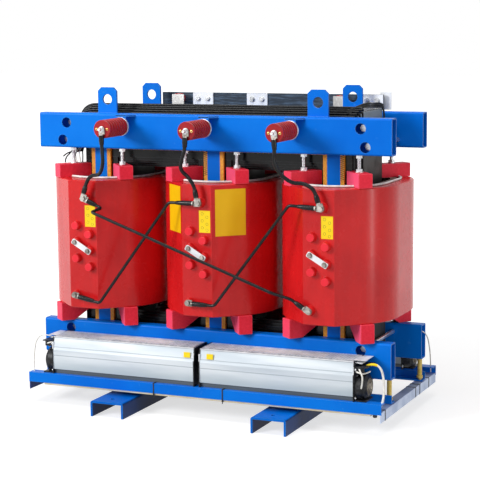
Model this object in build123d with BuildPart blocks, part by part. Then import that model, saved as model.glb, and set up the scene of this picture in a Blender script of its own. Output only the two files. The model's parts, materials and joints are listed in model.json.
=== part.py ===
# Dry-type power transformer: three resin-cast coils on a clamped, stepped core, on rails, with blower fans.
# Frame: X along the beams (left to right), Y from the high-voltage front (-Y) to the low-voltage rear (+Y),
# Z up. The origin is on the floor, under the middle of the machine. All sizes are in millimetres.
import math
import os

from build123d import *

# Coils and core
PITCH = 481                     # from one phase's centre line to the next
PHASES = {"left": -PITCH, "middle": 0, "right": PITCH}
COIL_BOTTOM = 390
COIL_TOP = 885
COIL_STRAIGHT = 72              # half of the straight side of the oblong coil section
HV_OUTER_R = 222
HV_INNER_R = 178
LV_OUTER_R = 160
LV_INNER_R = 134
PANEL_HALF = 60                 # half width of the flat terminal panel
PANEL_FRONT = 319               # how far the panel stands in front of the core's middle plane
COIL_EDGE = 3
CORE_TOP_Z = 1045               # middle of the top yoke
CORE_BOTTOM_Z = 234             # middle of the bottom yoke
CORE_PACKETS = [(111, 107.5), (103, 120), (94, 131), (84, 141), (72, 150)]  # half width, half depth
YOKE_GAIN = 120 / 111           # the yoke is a little taller than the leg is wide
YOKE_CORNER_R = 50

# Clamping beams
BEAM_LENGTH = 1440
BEAM_HEIGHT = 135
BEAM_DEPTH = 52
BEAM_WALL = 5
BEAM_CORNER = 8
BEAM_INNER_Y = 162.5
BEAM_OUTER_Y = BEAM_INNER_Y + BEAM_DEPTH
BEAM_MID_Y = BEAM_INNER_Y + BEAM_DEPTH / 2
TOP_BEAM_Z = 999                # underside
BOTTOM_BEAM_Z = 184             # underside
ACCESS_R = 20
STUD_R = 8
STUD_CLEARANCE = 0.5
STUD_PLACES_TOP = [(602, 97), (620, 30)]        # half spacing along X, height above the beam's underside
STUD_PLACES_BOTTOM = [(604, 102)]
STUD_HEAD_R = 14
STUD_HEAD = 10

# Lifting lugs
LUG_X = 432
LUG_Y = 188
LUG_WIDTH = 80
LUG_HEIGHT = 99
LUG_THICK = 10
LUG_CUT = 14
LUG_HOLE_R = 20
LUG_HOLE_Z = 52.5
LUG_NOTCH_R = 13

# Rails and pedestals
RAIL_X = 330
RAIL_WIDTH = 138
RAIL_HEIGHT = 61
RAIL_WALL = 8
RAIL_LENGTH = 880
RAIL_HOLE_R = 8.5
RAIL_HOLE_Y = 387
PEDESTAL_WIDTH = 110
PEDESTAL_WALL = 6
PEDESTAL_FLANGE = 8

# Tie plates and insulation between core and beams
TIE_WIDTH = 51
TIE_THICK = 12
TIE_BOTTOM = 192
TIE_TOP = 1126
STRIP_WIDTH = 15
PAD_HANG = 5
PAD_GAP = 1

# Spacer blocks and their press bolts
BLOCK_ANGLE = 45
BLOCK_INNER_R = 132
BLOCK_OUTER_R = 228
BLOCK_WIDTH = 51
TOP_BLOCK_Z = 937
BEAM_TOP_BOTTOM_Z = BOTTOM_BEAM_Z + BEAM_HEIGHT
BLOCK_BEVEL = 46
BOLT_X = 107
BOLT_Y = 188
BOLT_SHAFT_R = 6.5
BOLT_HEAD_R = 13
BOLT_HEAD = 9
BOLT_NUT = 11
BOLT_WASHER_R = 15
BOLT_WASHER = 3

# White edging round the coil's inner cylinder
EDGING_R = 174
EDGING_TUBE_R = 4

# Terminals and tap bosses on the panel, relative to the coil's centre
TAPS_LEFT = [(-25, 712), (-25, 649), (-25, 586)]
TAPS_RIGHT = [(30, 680), (30, 617), (30, 554)]
TERMINAL_TOP = (18, 819)
TERMINAL_BOTTOM = (-31, 444)
BOSS_R = 19
BOSS_FACE_R = 14
BOSS_HEIGHT = 16
DISC_HEIGHT = 4
TAP_LINK_WIDTH = 22
TAP_LINK_THICK = 4
TAP_BOLT_R = 9
TAP_BOLT_HEAD = 7
STACK_Y = PANEL_FRONT + BOSS_HEIGHT + DISC_HEIGHT     # where the first lug lies

# High-voltage post insulators
INSULATOR_X = [-345, 0, 345]
INSULATOR_Z = 1088
INSULATOR_BASE_Y = 250
INSULATOR_LENGTH = 150
INSULATOR_R = 40
INSULATOR_WAIST_R = 34
INSULATOR_SHEDS = 7
SHED_SHARE = 0.55               # how much of a shed's pitch is ridge
INSULATOR_RING = 8
INSULATOR_RING_R = 42
INSULATOR_STUD_R = 6
INSULATOR_STUD = 26
BRACKET_WIDTH = 92
BRACKET_THICK = 6
BRACKET_DROP = 92
BRACKET_BEND = 8

# Cable lugs, high-voltage leads and delta rods
LUG_PALM_R = 12
LUG_PALM_THICK = 4
LUG_EYE_R = 6.5
LUG_NECK = 18
LUG_BARREL_R = 8.5
LUG_BARREL = 26
LEAD_R = 7
ROD_R = 8.5
ROD_BEND = 26
NUT_R = 10
NUT_HEIGHT = 8

# Low-voltage bars at the rear
RISER_WIDTH = 84
RISER_THICK = 10
RISER_Y = 255
BUS_FACE_Y = 240
BUS_THICK = 10
BUS_LEFT = -409
BUS_RIGHT = 537
BUS_BOTTOM = 1146
BUS_TOP = 1194
FLAG_THICK = 6
FLAG_HOLE_R = 6.5
FLAG_HOLE_SPACING = 42
FLAG_X = [-225, 12, 493]
FLAG_WIDTH = 88
END_FLAG_X = 540                # bright plate that shows past the right end of the bar
END_FLAG_WIDTH = 44
END_FLAG_BOTTOM = 1135
END_FLAG_TOP = 1203
SUPPORT_X = [-327, 366]
SUPPORT_R = 21
SUPPORT_BASE_Y = 204

# Blower fans
FAN_SPANS = {"left": (-620, -18), "right": (9, 615)}
FAN_FRONT_Y = 330
FAN_BACK_Y = BEAM_OUTER_Y + 1
FAN_BOTTOM = 124
FAN_SKIRT = 142
FAN_CREASE = 218
FAN_TOP = 265
FAN_LEAN = 10
FAN_PLATE = 4
MOTOR_R = 38
MOTOR_LENGTH = 66
MOTOR_EDGE = 3
MOTOR_Y = 276
MOTOR_Z = 186

# Tray frame under the fans
TRAY_X = 726
TRAY_Y = 341
TRAY_BOTTOM = 86
TRAY_TOP = 124
TRAY_THICK = 4
TRAY_LEDGE = 42
POST_X = 706
POST_Y = 188
POST_R = 7
POST_SLEEVE_R = 9
DUCT_DEPTH = 30
DUCT_BOTTOM = 64
DUCT_TOP = 108
DUCT_HALF = 600

os.makedirs("parts", exist_ok=True)


def save(part, name):
    """Label a finished piece and write it."""
    part.label = name
    export_step(part, f"parts/{name}.step")


def front_plane(x, y, z):
    """A plane that faces the front, with its local X along the machine and local Y up."""
    return Plane(origin=(x, -y, z), x_dir=(1, 0, 0), z_dir=(0, -1, 0))


# Clamping beams
def make_beam(base_z, stud_places):
    """The front beam: a rectangular tube with access holes outside and stud holes inside."""
    middle = (-BEAM_MID_Y, base_z + BEAM_HEIGHT / 2)
    with BuildPart() as beam:
        with BuildSketch(Plane.YZ.offset(-BEAM_LENGTH / 2)):
            with Locations(middle):
                RectangleRounded(BEAM_DEPTH, BEAM_HEIGHT, BEAM_CORNER)
                RectangleRounded(BEAM_DEPTH - 2 * BEAM_WALL, BEAM_HEIGHT - 2 * BEAM_WALL,
                                 BEAM_CORNER - BEAM_WALL, mode=Mode.SUBTRACT)
        extrude(amount=BEAM_LENGTH)
        places = [(side * x, base_z + up) for x, up in stud_places for side in (-1, 1)]
        with BuildSketch(Plane.XZ.offset(BEAM_OUTER_Y)):
            with Locations(*places):
                Circle(ACCESS_R)
        extrude(amount=-2 * BEAM_WALL, mode=Mode.SUBTRACT)
        with BuildSketch(Plane.XZ.offset(BEAM_INNER_Y)):
            with Locations(*places):
                Circle(STUD_R + STUD_CLEARANCE)
        extrude(amount=2 * BEAM_WALL, mode=Mode.SUBTRACT)
    return beam


for level, base_z, stud_places in (("top", TOP_BEAM_Z, STUD_PLACES_TOP),
                                   ("bottom", BOTTOM_BEAM_Z, STUD_PLACES_BOTTOM)):
    front_beam = make_beam(base_z, stud_places)
    save(front_beam.part, f"{level}_beam_front")
    with BuildPart() as rear_beam:
        mirror(front_beam.part, about=Plane.XZ)
    save(rear_beam.part, f"{level}_beam_rear")

# Studs that draw the front and rear beams together outside the core's ends
stud_reach = BEAM_INNER_Y + BEAM_WALL
with BuildPart() as clamp_studs:
    for base_z, stud_places in ((TOP_BEAM_Z, STUD_PLACES_TOP), (BOTTOM_BEAM_Z, STUD_PLACES_BOTTOM)):
        places = [(side * x, base_z + up) for x, up in stud_places for side in (-1, 1)]
        with BuildSketch(Plane.XZ.offset(-stud_reach)):
            with Locations(*places):
                Circle(STUD_R)
        extrude(amount=2 * stud_reach)
        for end_plane in (Plane.XZ.offset(-stud_reach - STUD_HEAD), Plane.XZ.offset(stud_reach)):
            with BuildSketch(end_plane):
                with Locations(*places):
                    RegularPolygon(STUD_HEAD_R, 6)
            extrude(amount=STUD_HEAD)
save(clamp_studs.part, "clamp_studs")


# Lifting lugs
def make_lifting_lug(x, y, notched):
    """A plate with cut corners and a shackle hole, standing on a beam."""
    with BuildPart() as lug:
        with BuildSketch(front_plane(x, -y + LUG_THICK / 2, TOP_BEAM_Z + BEAM_HEIGHT)):
            with Locations((0, LUG_HEIGHT / 2)):
                Rectangle(LUG_WIDTH, LUG_HEIGHT)
            chamfer(vertices().group_by(Axis.Y)[-1], LUG_CUT)
            with Locations((0, LUG_HOLE_Z)):
                Circle(LUG_HOLE_R, mode=Mode.SUBTRACT)
            if notched:
                Circle(LUG_NOTCH_R, mode=Mode.SUBTRACT)
        extrude(amount=-LUG_THICK)
    return lug


for depth_name, lug_y in (("front", -LUG_Y), ("rear", LUG_Y)):
    for side_name, lug_x in (("left", -LUG_X), ("right", LUG_X)):
        lifting_lug = make_lifting_lug(lug_x, lug_y, depth_name == "rear")
        save(lifting_lug.part, f"lifting_lug_{depth_name}_{side_name}")

# Rails: channels that lie open side down, drilled at both ends
for side_name, rail_x in (("left", -RAIL_X), ("right", RAIL_X)):
    with BuildPart() as rail:
        with BuildSketch(Plane.XZ.offset(-RAIL_LENGTH / 2)):
            with Locations((rail_x, RAIL_HEIGHT / 2)):
                Rectangle(RAIL_WIDTH, RAIL_HEIGHT)
            fillet(vertices().group_by(Axis.Y)[-1], RAIL_WALL)
            with Locations((rail_x, (RAIL_HEIGHT - RAIL_WALL) / 2)):
                Rectangle(RAIL_WIDTH - 2 * RAIL_WALL, RAIL_HEIGHT - RAIL_WALL, mode=Mode.SUBTRACT)
        extrude(amount=RAIL_LENGTH)
        with Locations((rail_x, RAIL_HOLE_Y, RAIL_HEIGHT), (rail_x, -RAIL_HOLE_Y, RAIL_HEIGHT)):
            Hole(RAIL_HOLE_R, depth=2 * RAIL_WALL)
    save(rail.part, f"rail_{side_name}")

# Pedestals: short tubes with a foot flange that carry the bottom beams on the rails
with BuildPart() as pedestals:
    for rail_x in (-RAIL_X, RAIL_X):
        for foot_y in (-BEAM_MID_Y, BEAM_MID_Y):
            with BuildSketch(Plane.XY.offset(RAIL_HEIGHT)):
                with Locations((rail_x, foot_y)):
                    RectangleRounded(RAIL_WIDTH - 8, BEAM_DEPTH + 30, 6)
            extrude(amount=PEDESTAL_FLANGE)
            with BuildSketch(Plane.XY.offset(RAIL_HEIGHT + PEDESTAL_FLANGE)):
                with Locations((rail_x, foot_y)):
                    RectangleRounded(PEDESTAL_WIDTH, BEAM_DEPTH, PEDESTAL_WALL + 2)
                    RectangleRounded(PEDESTAL_WIDTH - 2 * PEDESTAL_WALL, BEAM_DEPTH - 2 * PEDESTAL_WALL, 2,
                                     mode=Mode.SUBTRACT)
            extrude(amount=BOTTOM_BEAM_Z - RAIL_HEIGHT - PEDESTAL_FLANGE)
save(pedestals.part, "pedestals")


# Core: stepped yokes and legs, so that each packet of a leg ends on the same packet of the yoke
def make_yoke(middle_z, outer_side):
    """A stepped yoke; its packets' outer corners are rounded on the side away from the coils."""
    with BuildPart() as yoke:
        for half_width, half_depth in CORE_PACKETS:
            half_height = half_width * YOKE_GAIN
            with BuildSketch(Plane.XZ.offset(-half_depth)):
                with Locations((0, middle_z)):
                    Rectangle(2 * (PITCH + half_width), 2 * half_height)
                levels = vertices().group_by(Axis.Y)
                fillet(levels[-1] if outer_side > 0 else levels[0], YOKE_CORNER_R)
            extrude(amount=2 * half_depth)
    return yoke


save(make_yoke(CORE_TOP_Z, 1).part, "core_top_yoke")
save(make_yoke(CORE_BOTTOM_Z, -1).part, "core_bottom_yoke")

with BuildPart() as core_legs:
    inner_depth = 0
    leg_z = (CORE_TOP_Z + CORE_BOTTOM_Z) / 2
    for half_width, half_depth in CORE_PACKETS:
        height = CORE_TOP_Z - CORE_BOTTOM_Z - 2 * half_width * YOKE_GAIN
        band = half_depth - inner_depth
        with Locations(*[(leg_x, side * (half_depth - band / 2), leg_z)
                         for leg_x in PHASES.values() for side in (-1, 1)]):
            Box(2 * half_width, band, height)
        inner_depth = half_depth
save(core_legs.part, "core_legs")

# Tie plates down the legs, with an insulating strip at each side
core_depth = CORE_PACKETS[-1][1]
with BuildPart() as tie_plates:
    with BuildSketch(Plane.XY.offset(TIE_BOTTOM)):
        with Locations(*[(x, side * (core_depth + TIE_THICK / 2)) for x in PHASES.values() for side in (-1, 1)]):
            Rectangle(TIE_WIDTH, TIE_THICK)
    extrude(amount=TIE_TOP - TIE_BOTTOM)
save(tie_plates.part, "tie_plates")

strip_x = (TIE_WIDTH + STRIP_WIDTH) / 2 + PAD_GAP / 2
with BuildPart() as core_insulation:
    with BuildSketch(Plane.XY.offset(TIE_BOTTOM)):
        with Locations(*[(x + across * strip_x, side * (core_depth + TIE_THICK / 2))
                         for x in PHASES.values() for side in (-1, 1) for across in (-1, 1)]):
            Rectangle(STRIP_WIDTH, TIE_THICK)
    extrude(amount=TIE_TOP - TIE_BOTTOM)
    pad_edge = strip_x + STRIP_WIDTH / 2 + PAD_GAP
    pad_length = PITCH - 2 * pad_edge
    for pad_x in (-PITCH / 2, PITCH / 2):
        for side in (-1, 1):
            with Locations((pad_x, side * (core_depth + TIE_THICK / 2), TOP_BEAM_Z + BEAM_HEIGHT / 2 - PAD_HANG),
                           (pad_x, side * (core_depth + TIE_THICK / 2), BOTTOM_BEAM_Z + BEAM_HEIGHT / 2)):
                Box(pad_length, TIE_THICK, BEAM_HEIGHT)
save(core_insulation.part, "core_insulation")


# Coils
def tangent_point():
    """Where the panel's flank meets the coil's round end, relative to the coil's centre."""
    across, back = PANEL_HALF, PANEL_FRONT - COIL_STRAIGHT
    reach = math.hypot(across, back)
    turn = math.atan2(across, back) + math.acos(HV_OUTER_R / reach)
    return HV_OUTER_R * math.sin(turn), COIL_STRAIGHT + HV_OUTER_R * math.cos(turn)


def make_hv_coil(coil_x):
    """An oblong cast cylinder with a flat-fronted terminal panel and its moulded bosses."""
    touch_x, touch_y = tangent_point()
    with BuildPart() as coil:
        with BuildSketch(Plane.XY.offset(COIL_BOTTOM)):
            with Locations((coil_x, 0)):
                SlotCenterToCenter(2 * COIL_STRAIGHT, 2 * HV_OUTER_R, rotation=90)
            with BuildLine():
                Polyline((coil_x - touch_x, -touch_y), (coil_x - PANEL_HALF, -PANEL_FRONT),
                         (coil_x + PANEL_HALF, -PANEL_FRONT), (coil_x + touch_x, -touch_y), close=True)
            make_face()
        extrude(amount=COIL_TOP - COIL_BOTTOM)
        outer_edges = faces().filter_by(Axis.Z).edges()
        chamfer(outer_edges, COIL_EDGE)
        with BuildSketch(Plane.XY.offset(COIL_BOTTOM)):
            with Locations((coil_x, 0)):
                SlotCenterToCenter(2 * COIL_STRAIGHT, 2 * HV_INNER_R, rotation=90)
        extrude(amount=COIL_TOP - COIL_BOTTOM, mode=Mode.SUBTRACT)
        bosses = [(coil_x + x, z) for x, z in TAPS_LEFT + TAPS_RIGHT + [TERMINAL_TOP, TERMINAL_BOTTOM]]
        for boss_x, boss_z in bosses:
            with BuildSketch(front_plane(boss_x, PANEL_FRONT, boss_z)):
                Circle(BOSS_R)
            with BuildSketch(front_plane(boss_x, PANEL_FRONT + BOSS_HEIGHT, boss_z)):
                Circle(BOSS_FACE_R + 1)
            loft()
            with BuildSketch(front_plane(boss_x, PANEL_FRONT + BOSS_HEIGHT, boss_z)):
                Circle(BOSS_FACE_R)
            extrude(amount=DISC_HEIGHT)
    return coil


for phase, coil_x in PHASES.items():
    save(make_hv_coil(coil_x).part, f"hv_coil_{phase}")

for phase, coil_x in PHASES.items():
    with BuildPart() as lv_coil:
        with BuildSketch(Plane.XY.offset(COIL_BOTTOM)):
            with Locations((coil_x, 0)):
                SlotCenterToCenter(2 * COIL_STRAIGHT, 2 * LV_OUTER_R, rotation=90)
                SlotCenterToCenter(2 * COIL_STRAIGHT, 2 * LV_INNER_R, rotation=90, mode=Mode.SUBTRACT)
        extrude(amount=COIL_TOP - COIL_BOTTOM)
    save(lv_coil.part, f"lv_coil_{phase}")


# Spacer blocks between the coils' ends and the beams
def block_plane(coil_x, across, side):
    """A vertical plane along a block's length, at its middle, with local X pointing outwards."""
    turn = math.radians(BLOCK_ANGLE)
    outward = Vector(across * math.sin(turn), side * math.cos(turn), 0)
    return Plane(origin=(coil_x, side * COIL_STRAIGHT, 0), x_dir=outward, z_dir=outward.cross(Vector(0, 0, 1)))


def make_blocks(inner_level, outer_level, bevel):
    """The twelve blocks of one level; the inner end slants back by the bevel at the outer level."""
    with BuildPart() as blocks:
        for coil_x in PHASES.values():
            for across in (-1, 1):
                for side in (-1, 1):
                    with BuildSketch(block_plane(coil_x, across, side)):
                        with BuildLine():
                            Polyline((BLOCK_INNER_R, inner_level), (BLOCK_OUTER_R, inner_level),
                                     (BLOCK_OUTER_R, outer_level), (BLOCK_INNER_R + bevel, outer_level),
                                     close=True)
                        make_face()
                    extrude(amount=BLOCK_WIDTH / 2, both=True)
    return blocks


save(make_blocks(COIL_TOP, TOP_BLOCK_Z, 0).part, "top_blocks")
save(make_blocks(COIL_BOTTOM, BEAM_TOP_BOTTOM_Z, BLOCK_BEVEL).part, "bottom_blocks")

# Press bolts that push the top blocks down from the top beams
bolt_places = [(x + across * BOLT_X, side * BOLT_Y) for x in PHASES.values() for across in (-1, 1)
               for side in (-1, 1)]
with BuildPart() as press_bolts:
    levels = [(TOP_BLOCK_Z, BOLT_WASHER, BOLT_WASHER_R, 0),
              (TOP_BLOCK_Z + BOLT_WASHER, BOLT_HEAD, BOLT_HEAD_R, 6),
              (TOP_BLOCK_Z + BOLT_WASHER + BOLT_HEAD, TOP_BEAM_Z - TOP_BLOCK_Z - BOLT_WASHER - BOLT_HEAD,
               BOLT_SHAFT_R, 0),
              (TOP_BEAM_Z - BOLT_NUT, BOLT_NUT, BOLT_HEAD_R, 6)]
    for level_z, thickness, radius, sides in levels:
        with BuildSketch(Plane.XY.offset(level_z)):
            with Locations(*bolt_places):
                if sides:
                    RegularPolygon(radius, sides)
                else:
                    Circle(radius)
        extrude(amount=thickness)
save(press_bolts.part, "press_bolts")

# White edging on each coil's inner cylinder, cut where the blocks lie
with BuildPart() as edging_rings:
    for coil_x in PHASES.values():
        ring_z = COIL_TOP + EDGING_TUBE_R
        with BuildSketch(Plane.XY.offset(ring_z - EDGING_TUBE_R)):
            with Locations((coil_x, 0)):
                SlotCenterToCenter(2 * COIL_STRAIGHT, 2 * EDGING_R, rotation=90)
                SlotCenterToCenter(2 * COIL_STRAIGHT, 2 * EDGING_R - 4 * EDGING_TUBE_R, rotation=90,
                                   mode=Mode.SUBTRACT)
        extrude(amount=2 * EDGING_TUBE_R)
    for coil_x in PHASES.values():
        for across in (-1, 1):
            for side in (-1, 1):
                with BuildSketch(block_plane(coil_x, across, side)):
                    with Locations((EDGING_R, COIL_TOP + EDGING_TUBE_R)):
                        Rectangle(8 * EDGING_TUBE_R, 4 * EDGING_TUBE_R)
                extrude(amount=BLOCK_WIDTH / 2 + PAD_GAP, both=True, mode=Mode.SUBTRACT)
save(edging_rings.part, "edging_rings")

# Tap links: a flat bar with round ends between two bosses, with a bolt at each end
with BuildPart() as tap_links:
    for coil_x in PHASES.values():
        first = (coil_x + TAPS_LEFT[1][0], TAPS_LEFT[1][1])
        second = (coil_x + TAPS_RIGHT[1][0], TAPS_RIGHT[1][1])
        middle = ((first[0] + second[0]) / 2, (first[1] + second[1]) / 2)
        length = math.dist(first, second)
        slope = math.degrees(math.atan2(second[1] - first[1], second[0] - first[0]))
        with BuildSketch(front_plane(0, STACK_Y, 0)):
            with Locations(middle):
                SlotCenterToCenter(length, TAP_LINK_WIDTH, rotation=slope)
        extrude(amount=TAP_LINK_THICK)
        with BuildSketch(front_plane(0, STACK_Y + TAP_LINK_THICK, 0)):
            with Locations(first, second):
                RegularPolygon(TAP_BOLT_R, 6)
        extrude(amount=TAP_BOLT_HEAD)
save(tap_links.part, "tap_links")

# Post insulators on bent brackets
with BuildPart() as insulator_brackets:
    for post_x in INSULATOR_X:
        plate_z = TOP_BEAM_Z + BEAM_HEIGHT + BRACKET_THICK / 2
        plate_y = -INSULATOR_BASE_Y + BRACKET_THICK / 2
        with BuildSketch(Plane.YZ.offset(post_x - BRACKET_WIDTH / 2)):
            with BuildLine():
                FilletPolyline((-BEAM_INNER_Y - 6, plate_z), (plate_y, plate_z),
                               (plate_y, plate_z - BRACKET_DROP), radius=BRACKET_BEND)
            trace(line_width=BRACKET_THICK)
        extrude(amount=BRACKET_WIDTH)
save(insulator_brackets.part, "insulator_brackets")

shed_pitch = (INSULATOR_LENGTH - INSULATOR_RING) / (INSULATOR_SHEDS + 0.5)
with BuildPart() as hv_insulators:
    for post_x in INSULATOR_X:
        post_axis = Axis((post_x, -INSULATOR_BASE_Y, INSULATOR_Z), (0, -1, 0))
        with BuildSketch(Plane(origin=post_axis.position, x_dir=(1, 0, 0), z_dir=(0, 0, -1))):
            with Locations((0, INSULATOR_RING)):
                Rectangle(INSULATOR_WAIST_R, INSULATOR_LENGTH - INSULATOR_RING, align=(Align.MIN, Align.MIN))
            for shed in range(INSULATOR_SHEDS):
                with Locations((INSULATOR_WAIST_R / 2, INSULATOR_RING + shed * shed_pitch)):
                    Rectangle(INSULATOR_R - INSULATOR_WAIST_R / 2, shed_pitch * SHED_SHARE,
                              align=(Align.MIN, Align.MIN))
            with Locations((0, INSULATOR_LENGTH - shed_pitch / 2)):
                Rectangle(INSULATOR_R, shed_pitch / 2, align=(Align.MIN, Align.MIN))
        revolve(axis=post_axis)
save(hv_insulators.part, "hv_insulators")

# Metal ends of the insulators: the base ring and the front stud with its nut
with BuildPart() as insulator_fittings:
    for post_x in INSULATOR_X:
        with BuildSketch(front_plane(post_x, INSULATOR_BASE_Y, INSULATOR_Z)):
            Circle(INSULATOR_RING_R)
        extrude(amount=INSULATOR_RING)
        with BuildSketch(front_plane(post_x, INSULATOR_BASE_Y + INSULATOR_LENGTH, INSULATOR_Z)):
            Circle(INSULATOR_STUD_R)
        extrude(amount=INSULATOR_STUD)
        nut_y = INSULATOR_BASE_Y + INSULATOR_LENGTH + LUG_PALM_THICK
        with BuildSketch(front_plane(post_x, nut_y, INSULATOR_Z)):
            RegularPolygon(NUT_R, 6)
        extrude(amount=NUT_HEIGHT)
save(insulator_fittings.part, "insulator_fittings")


# Cable lugs: a flat palm with an eye, and a barrel that is flush with the palm's back
def lug_direction(x, z, point):
    """The upright direction from a terminal to the first point of its cable's route."""
    return Vector(point[0] - x, 0, point[2] - z).normalized()


def make_lug(x, y, z, along):
    """A lug whose palm lies on depth y, with its barrel along the given direction."""
    start = Vector(x, -y - LUG_BARREL_R, z) + along * LUG_NECK
    with BuildPart() as lug:
        with BuildSketch(Plane(origin=(x, -y, z), x_dir=along, z_dir=(0, -1, 0))):
            Circle(LUG_PALM_R)
            Rectangle(LUG_NECK, 2 * LUG_PALM_R, align=(Align.MIN, Align.CENTER))
            Circle(LUG_EYE_R, mode=Mode.SUBTRACT)
        extrude(amount=LUG_PALM_THICK)
        with BuildSketch(Plane(origin=start, z_dir=along)):
            Circle(LUG_BARREL_R)
        extrude(amount=LUG_BARREL)
    return lug


def barrel_end(x, y, z, along):
    """The middle of a lug's open end, where its cable starts."""
    return Vector(x, -y - LUG_BARREL_R, z) + along * (LUG_NECK + LUG_BARREL)


def bend_radii(points):
    """The largest arc that each inner point of a cable's route leaves room for."""
    radii = []
    for before, here, after in zip(points, points[1:], points[2:]):
        shorter = min((here - before).length, (after - here).length)
        turn = math.radians((here - before).get_angle(after - here))
        radii.append(0.45 * shorter / math.tan(turn / 2))
    return radii


def make_cable(points, radii, radius):
    """A round cable along straight runs joined by arcs."""
    with BuildPart() as cable:
        with BuildLine() as path:
            FilletPolyline(*points, radius=radii)
        with BuildSketch(Plane(origin=path.line @ 0, z_dir=path.line % 0)):
            Circle(radius)
        sweep()
    length = sum(edge.length for edge in path.line.edges())
    share = cable.part.volume / (math.pi * radius ** 2 * length)
    print(f"length {length:.1f}, volume share {share:.4f}, radii {[round(value) for value in radii]}")
    return cable


rod_depth = STACK_Y
lead_depth = STACK_Y + LUG_PALM_THICK
post_depth = INSULATOR_BASE_Y + INSULATOR_LENGTH
ROD_Y = -rod_depth - LUG_BARREL_R
LEAD_TOP_Y = -post_depth - LUG_BARREL_R
LEAD_LOW_Y = -lead_depth - LUG_BARREL_R

# Hand-laid routes of the flexible leads, from the post insulators down to the coils' top terminals
LEAD_ROUTES = {
    "left": [(-342, LEAD_TOP_Y, 1014), (-342, -402, 960), (-373, -372, 914), (-415, -357, 911),
             (-440, LEAD_LOW_Y, 891)],
    "middle": [(-2, LEAD_TOP_Y, 1019), (-17, -403, 989), (-32, -390, 947), (-14, -353, 915),
               (7, LEAD_LOW_Y, 883)],
    "right": [(350, LEAD_TOP_Y, 1026), (342, -407, 994), (358, -397, 949), (400, -376, 910),
              (432, -354, 910), (464, -353, 897), (479, LEAD_LOW_Y, 881)],
}
lead_paths = {}
with BuildPart() as lead_lugs:
    for (phase, route), post_x in zip(LEAD_ROUTES.items(), INSULATOR_X):
        low_x, low_z = PHASES[phase] + TERMINAL_TOP[0], TERMINAL_TOP[1]
        down = lug_direction(post_x, INSULATOR_Z, route[0])
        up = lug_direction(low_x, low_z, route[-1])
        add(make_lug(post_x, post_depth, INSULATOR_Z, down).part)
        add(make_lug(low_x, lead_depth, low_z, up).part)
        lead_paths[phase] = [barrel_end(post_x, post_depth, INSULATOR_Z, down)]
        lead_paths[phase] += [Vector(*point) for point in route]
        lead_paths[phase] += [barrel_end(low_x, lead_depth, low_z, up)]
save(lead_lugs.part, "lead_lugs")

for phase, points in lead_paths.items():
    save(make_cable(points, bend_radii(points), LEAD_R).part, f"hv_lead_{phase}")

# Delta rods: stiff insulated rods from one coil's terminal to a terminal of another coil
DELTA_RODS = {
    "short left": (("left", TERMINAL_BOTTOM), [(-400, ROD_Y, 421), (-100, ROD_Y, 819)], ("middle", TERMINAL_TOP)),
    "short right": (("middle", TERMINAL_BOTTOM), [(80, ROD_Y, 441), (378, ROD_Y, 827)], ("right", TERMINAL_TOP)),
    "long": (("left", TERMINAL_TOP),
             [(-383, ROD_Y, 786), (-398, -400, 776), (325, -400, 516), (385, ROD_Y, 486)],
             ("right", TERMINAL_BOTTOM)),
}
rod_paths = []
with BuildPart() as rod_lugs:
    for first, route, last in DELTA_RODS.values():
        path_ends = []
        for (phase, terminal), neighbour in ((first, route[0]), (last, route[-1])):
            lug_x, lug_z = PHASES[phase] + terminal[0], terminal[1]
            along = lug_direction(lug_x, lug_z, neighbour)
            add(make_lug(lug_x, rod_depth, lug_z, along).part)
            path_ends.append(barrel_end(lug_x, rod_depth, lug_z, along))
        rod_paths.append([path_ends[0]] + [Vector(*point) for point in route] + [path_ends[1]])
save(rod_lugs.part, "rod_lugs")

with BuildPart() as delta_rods:
    for points in rod_paths:
        add(make_cable(points, [min(ROD_BEND, radius) for radius in bend_radii(points)], ROD_R).part)
save(delta_rods.part, "delta_rods")

# Terminal bolts that hold the lugs on the coils
with BuildPart() as terminal_bolts:
    for coil_x in PHASES.values():
        for (terminal_x, terminal_z), depth in ((TERMINAL_TOP, lead_depth), (TERMINAL_BOTTOM, rod_depth)):
            with BuildSketch(front_plane(coil_x + terminal_x, STACK_Y, terminal_z)):
                Circle(LUG_EYE_R)
            extrude(amount=depth + LUG_PALM_THICK - STACK_Y)
            with BuildSketch(front_plane(coil_x + terminal_x, depth + LUG_PALM_THICK, terminal_z)):
                RegularPolygon(NUT_R, 6)
            extrude(amount=NUT_HEIGHT)
save(terminal_bolts.part, "terminal_bolts")

# Low-voltage risers, bus bar and bright flags, drilled together for the customer's bolts
riser_foot = COIL_STRAIGHT + (LV_OUTER_R + LV_INNER_R) / 2 + 2
bus_middle_z = (BUS_BOTTOM + BUS_TOP) / 2
flag_holes = [(flag_x + side * FLAG_HOLE_SPACING / 2, bus_middle_z) for flag_x in FLAG_X for side in (-1, 1)]
with BuildPart() as lv_risers:
    for coil_x in PHASES.values():
        with BuildSketch(Plane.YZ.offset(coil_x - RISER_WIDTH / 2)):
            with BuildLine():
                FilletPolyline((riser_foot, COIL_TOP), (riser_foot, COIL_TOP + 24), (RISER_Y, COIL_TOP + 62),
                               (RISER_Y, BUS_TOP), radius=18)
            trace(line_width=RISER_THICK)
        extrude(amount=RISER_WIDTH)
    with BuildSketch(Plane.XZ.offset(-BUS_FACE_Y)):
        with Locations(*flag_holes):
            Circle(FLAG_HOLE_R)
    extrude(amount=-2 * RISER_THICK - BUS_THICK, mode=Mode.SUBTRACT)
save(lv_risers.part, "lv_risers")

with BuildPart() as bus_bar:
    with BuildSketch(Plane.XZ.offset(-BUS_FACE_Y - BUS_THICK)):
        with Locations(((BUS_LEFT + BUS_RIGHT) / 2, bus_middle_z)):
            Rectangle(BUS_RIGHT - BUS_LEFT, BUS_TOP - BUS_BOTTOM)
        with Locations(*flag_holes):
            Circle(FLAG_HOLE_R, mode=Mode.SUBTRACT)
    extrude(amount=BUS_THICK)
save(bus_bar.part, "bus_bar")

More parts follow.
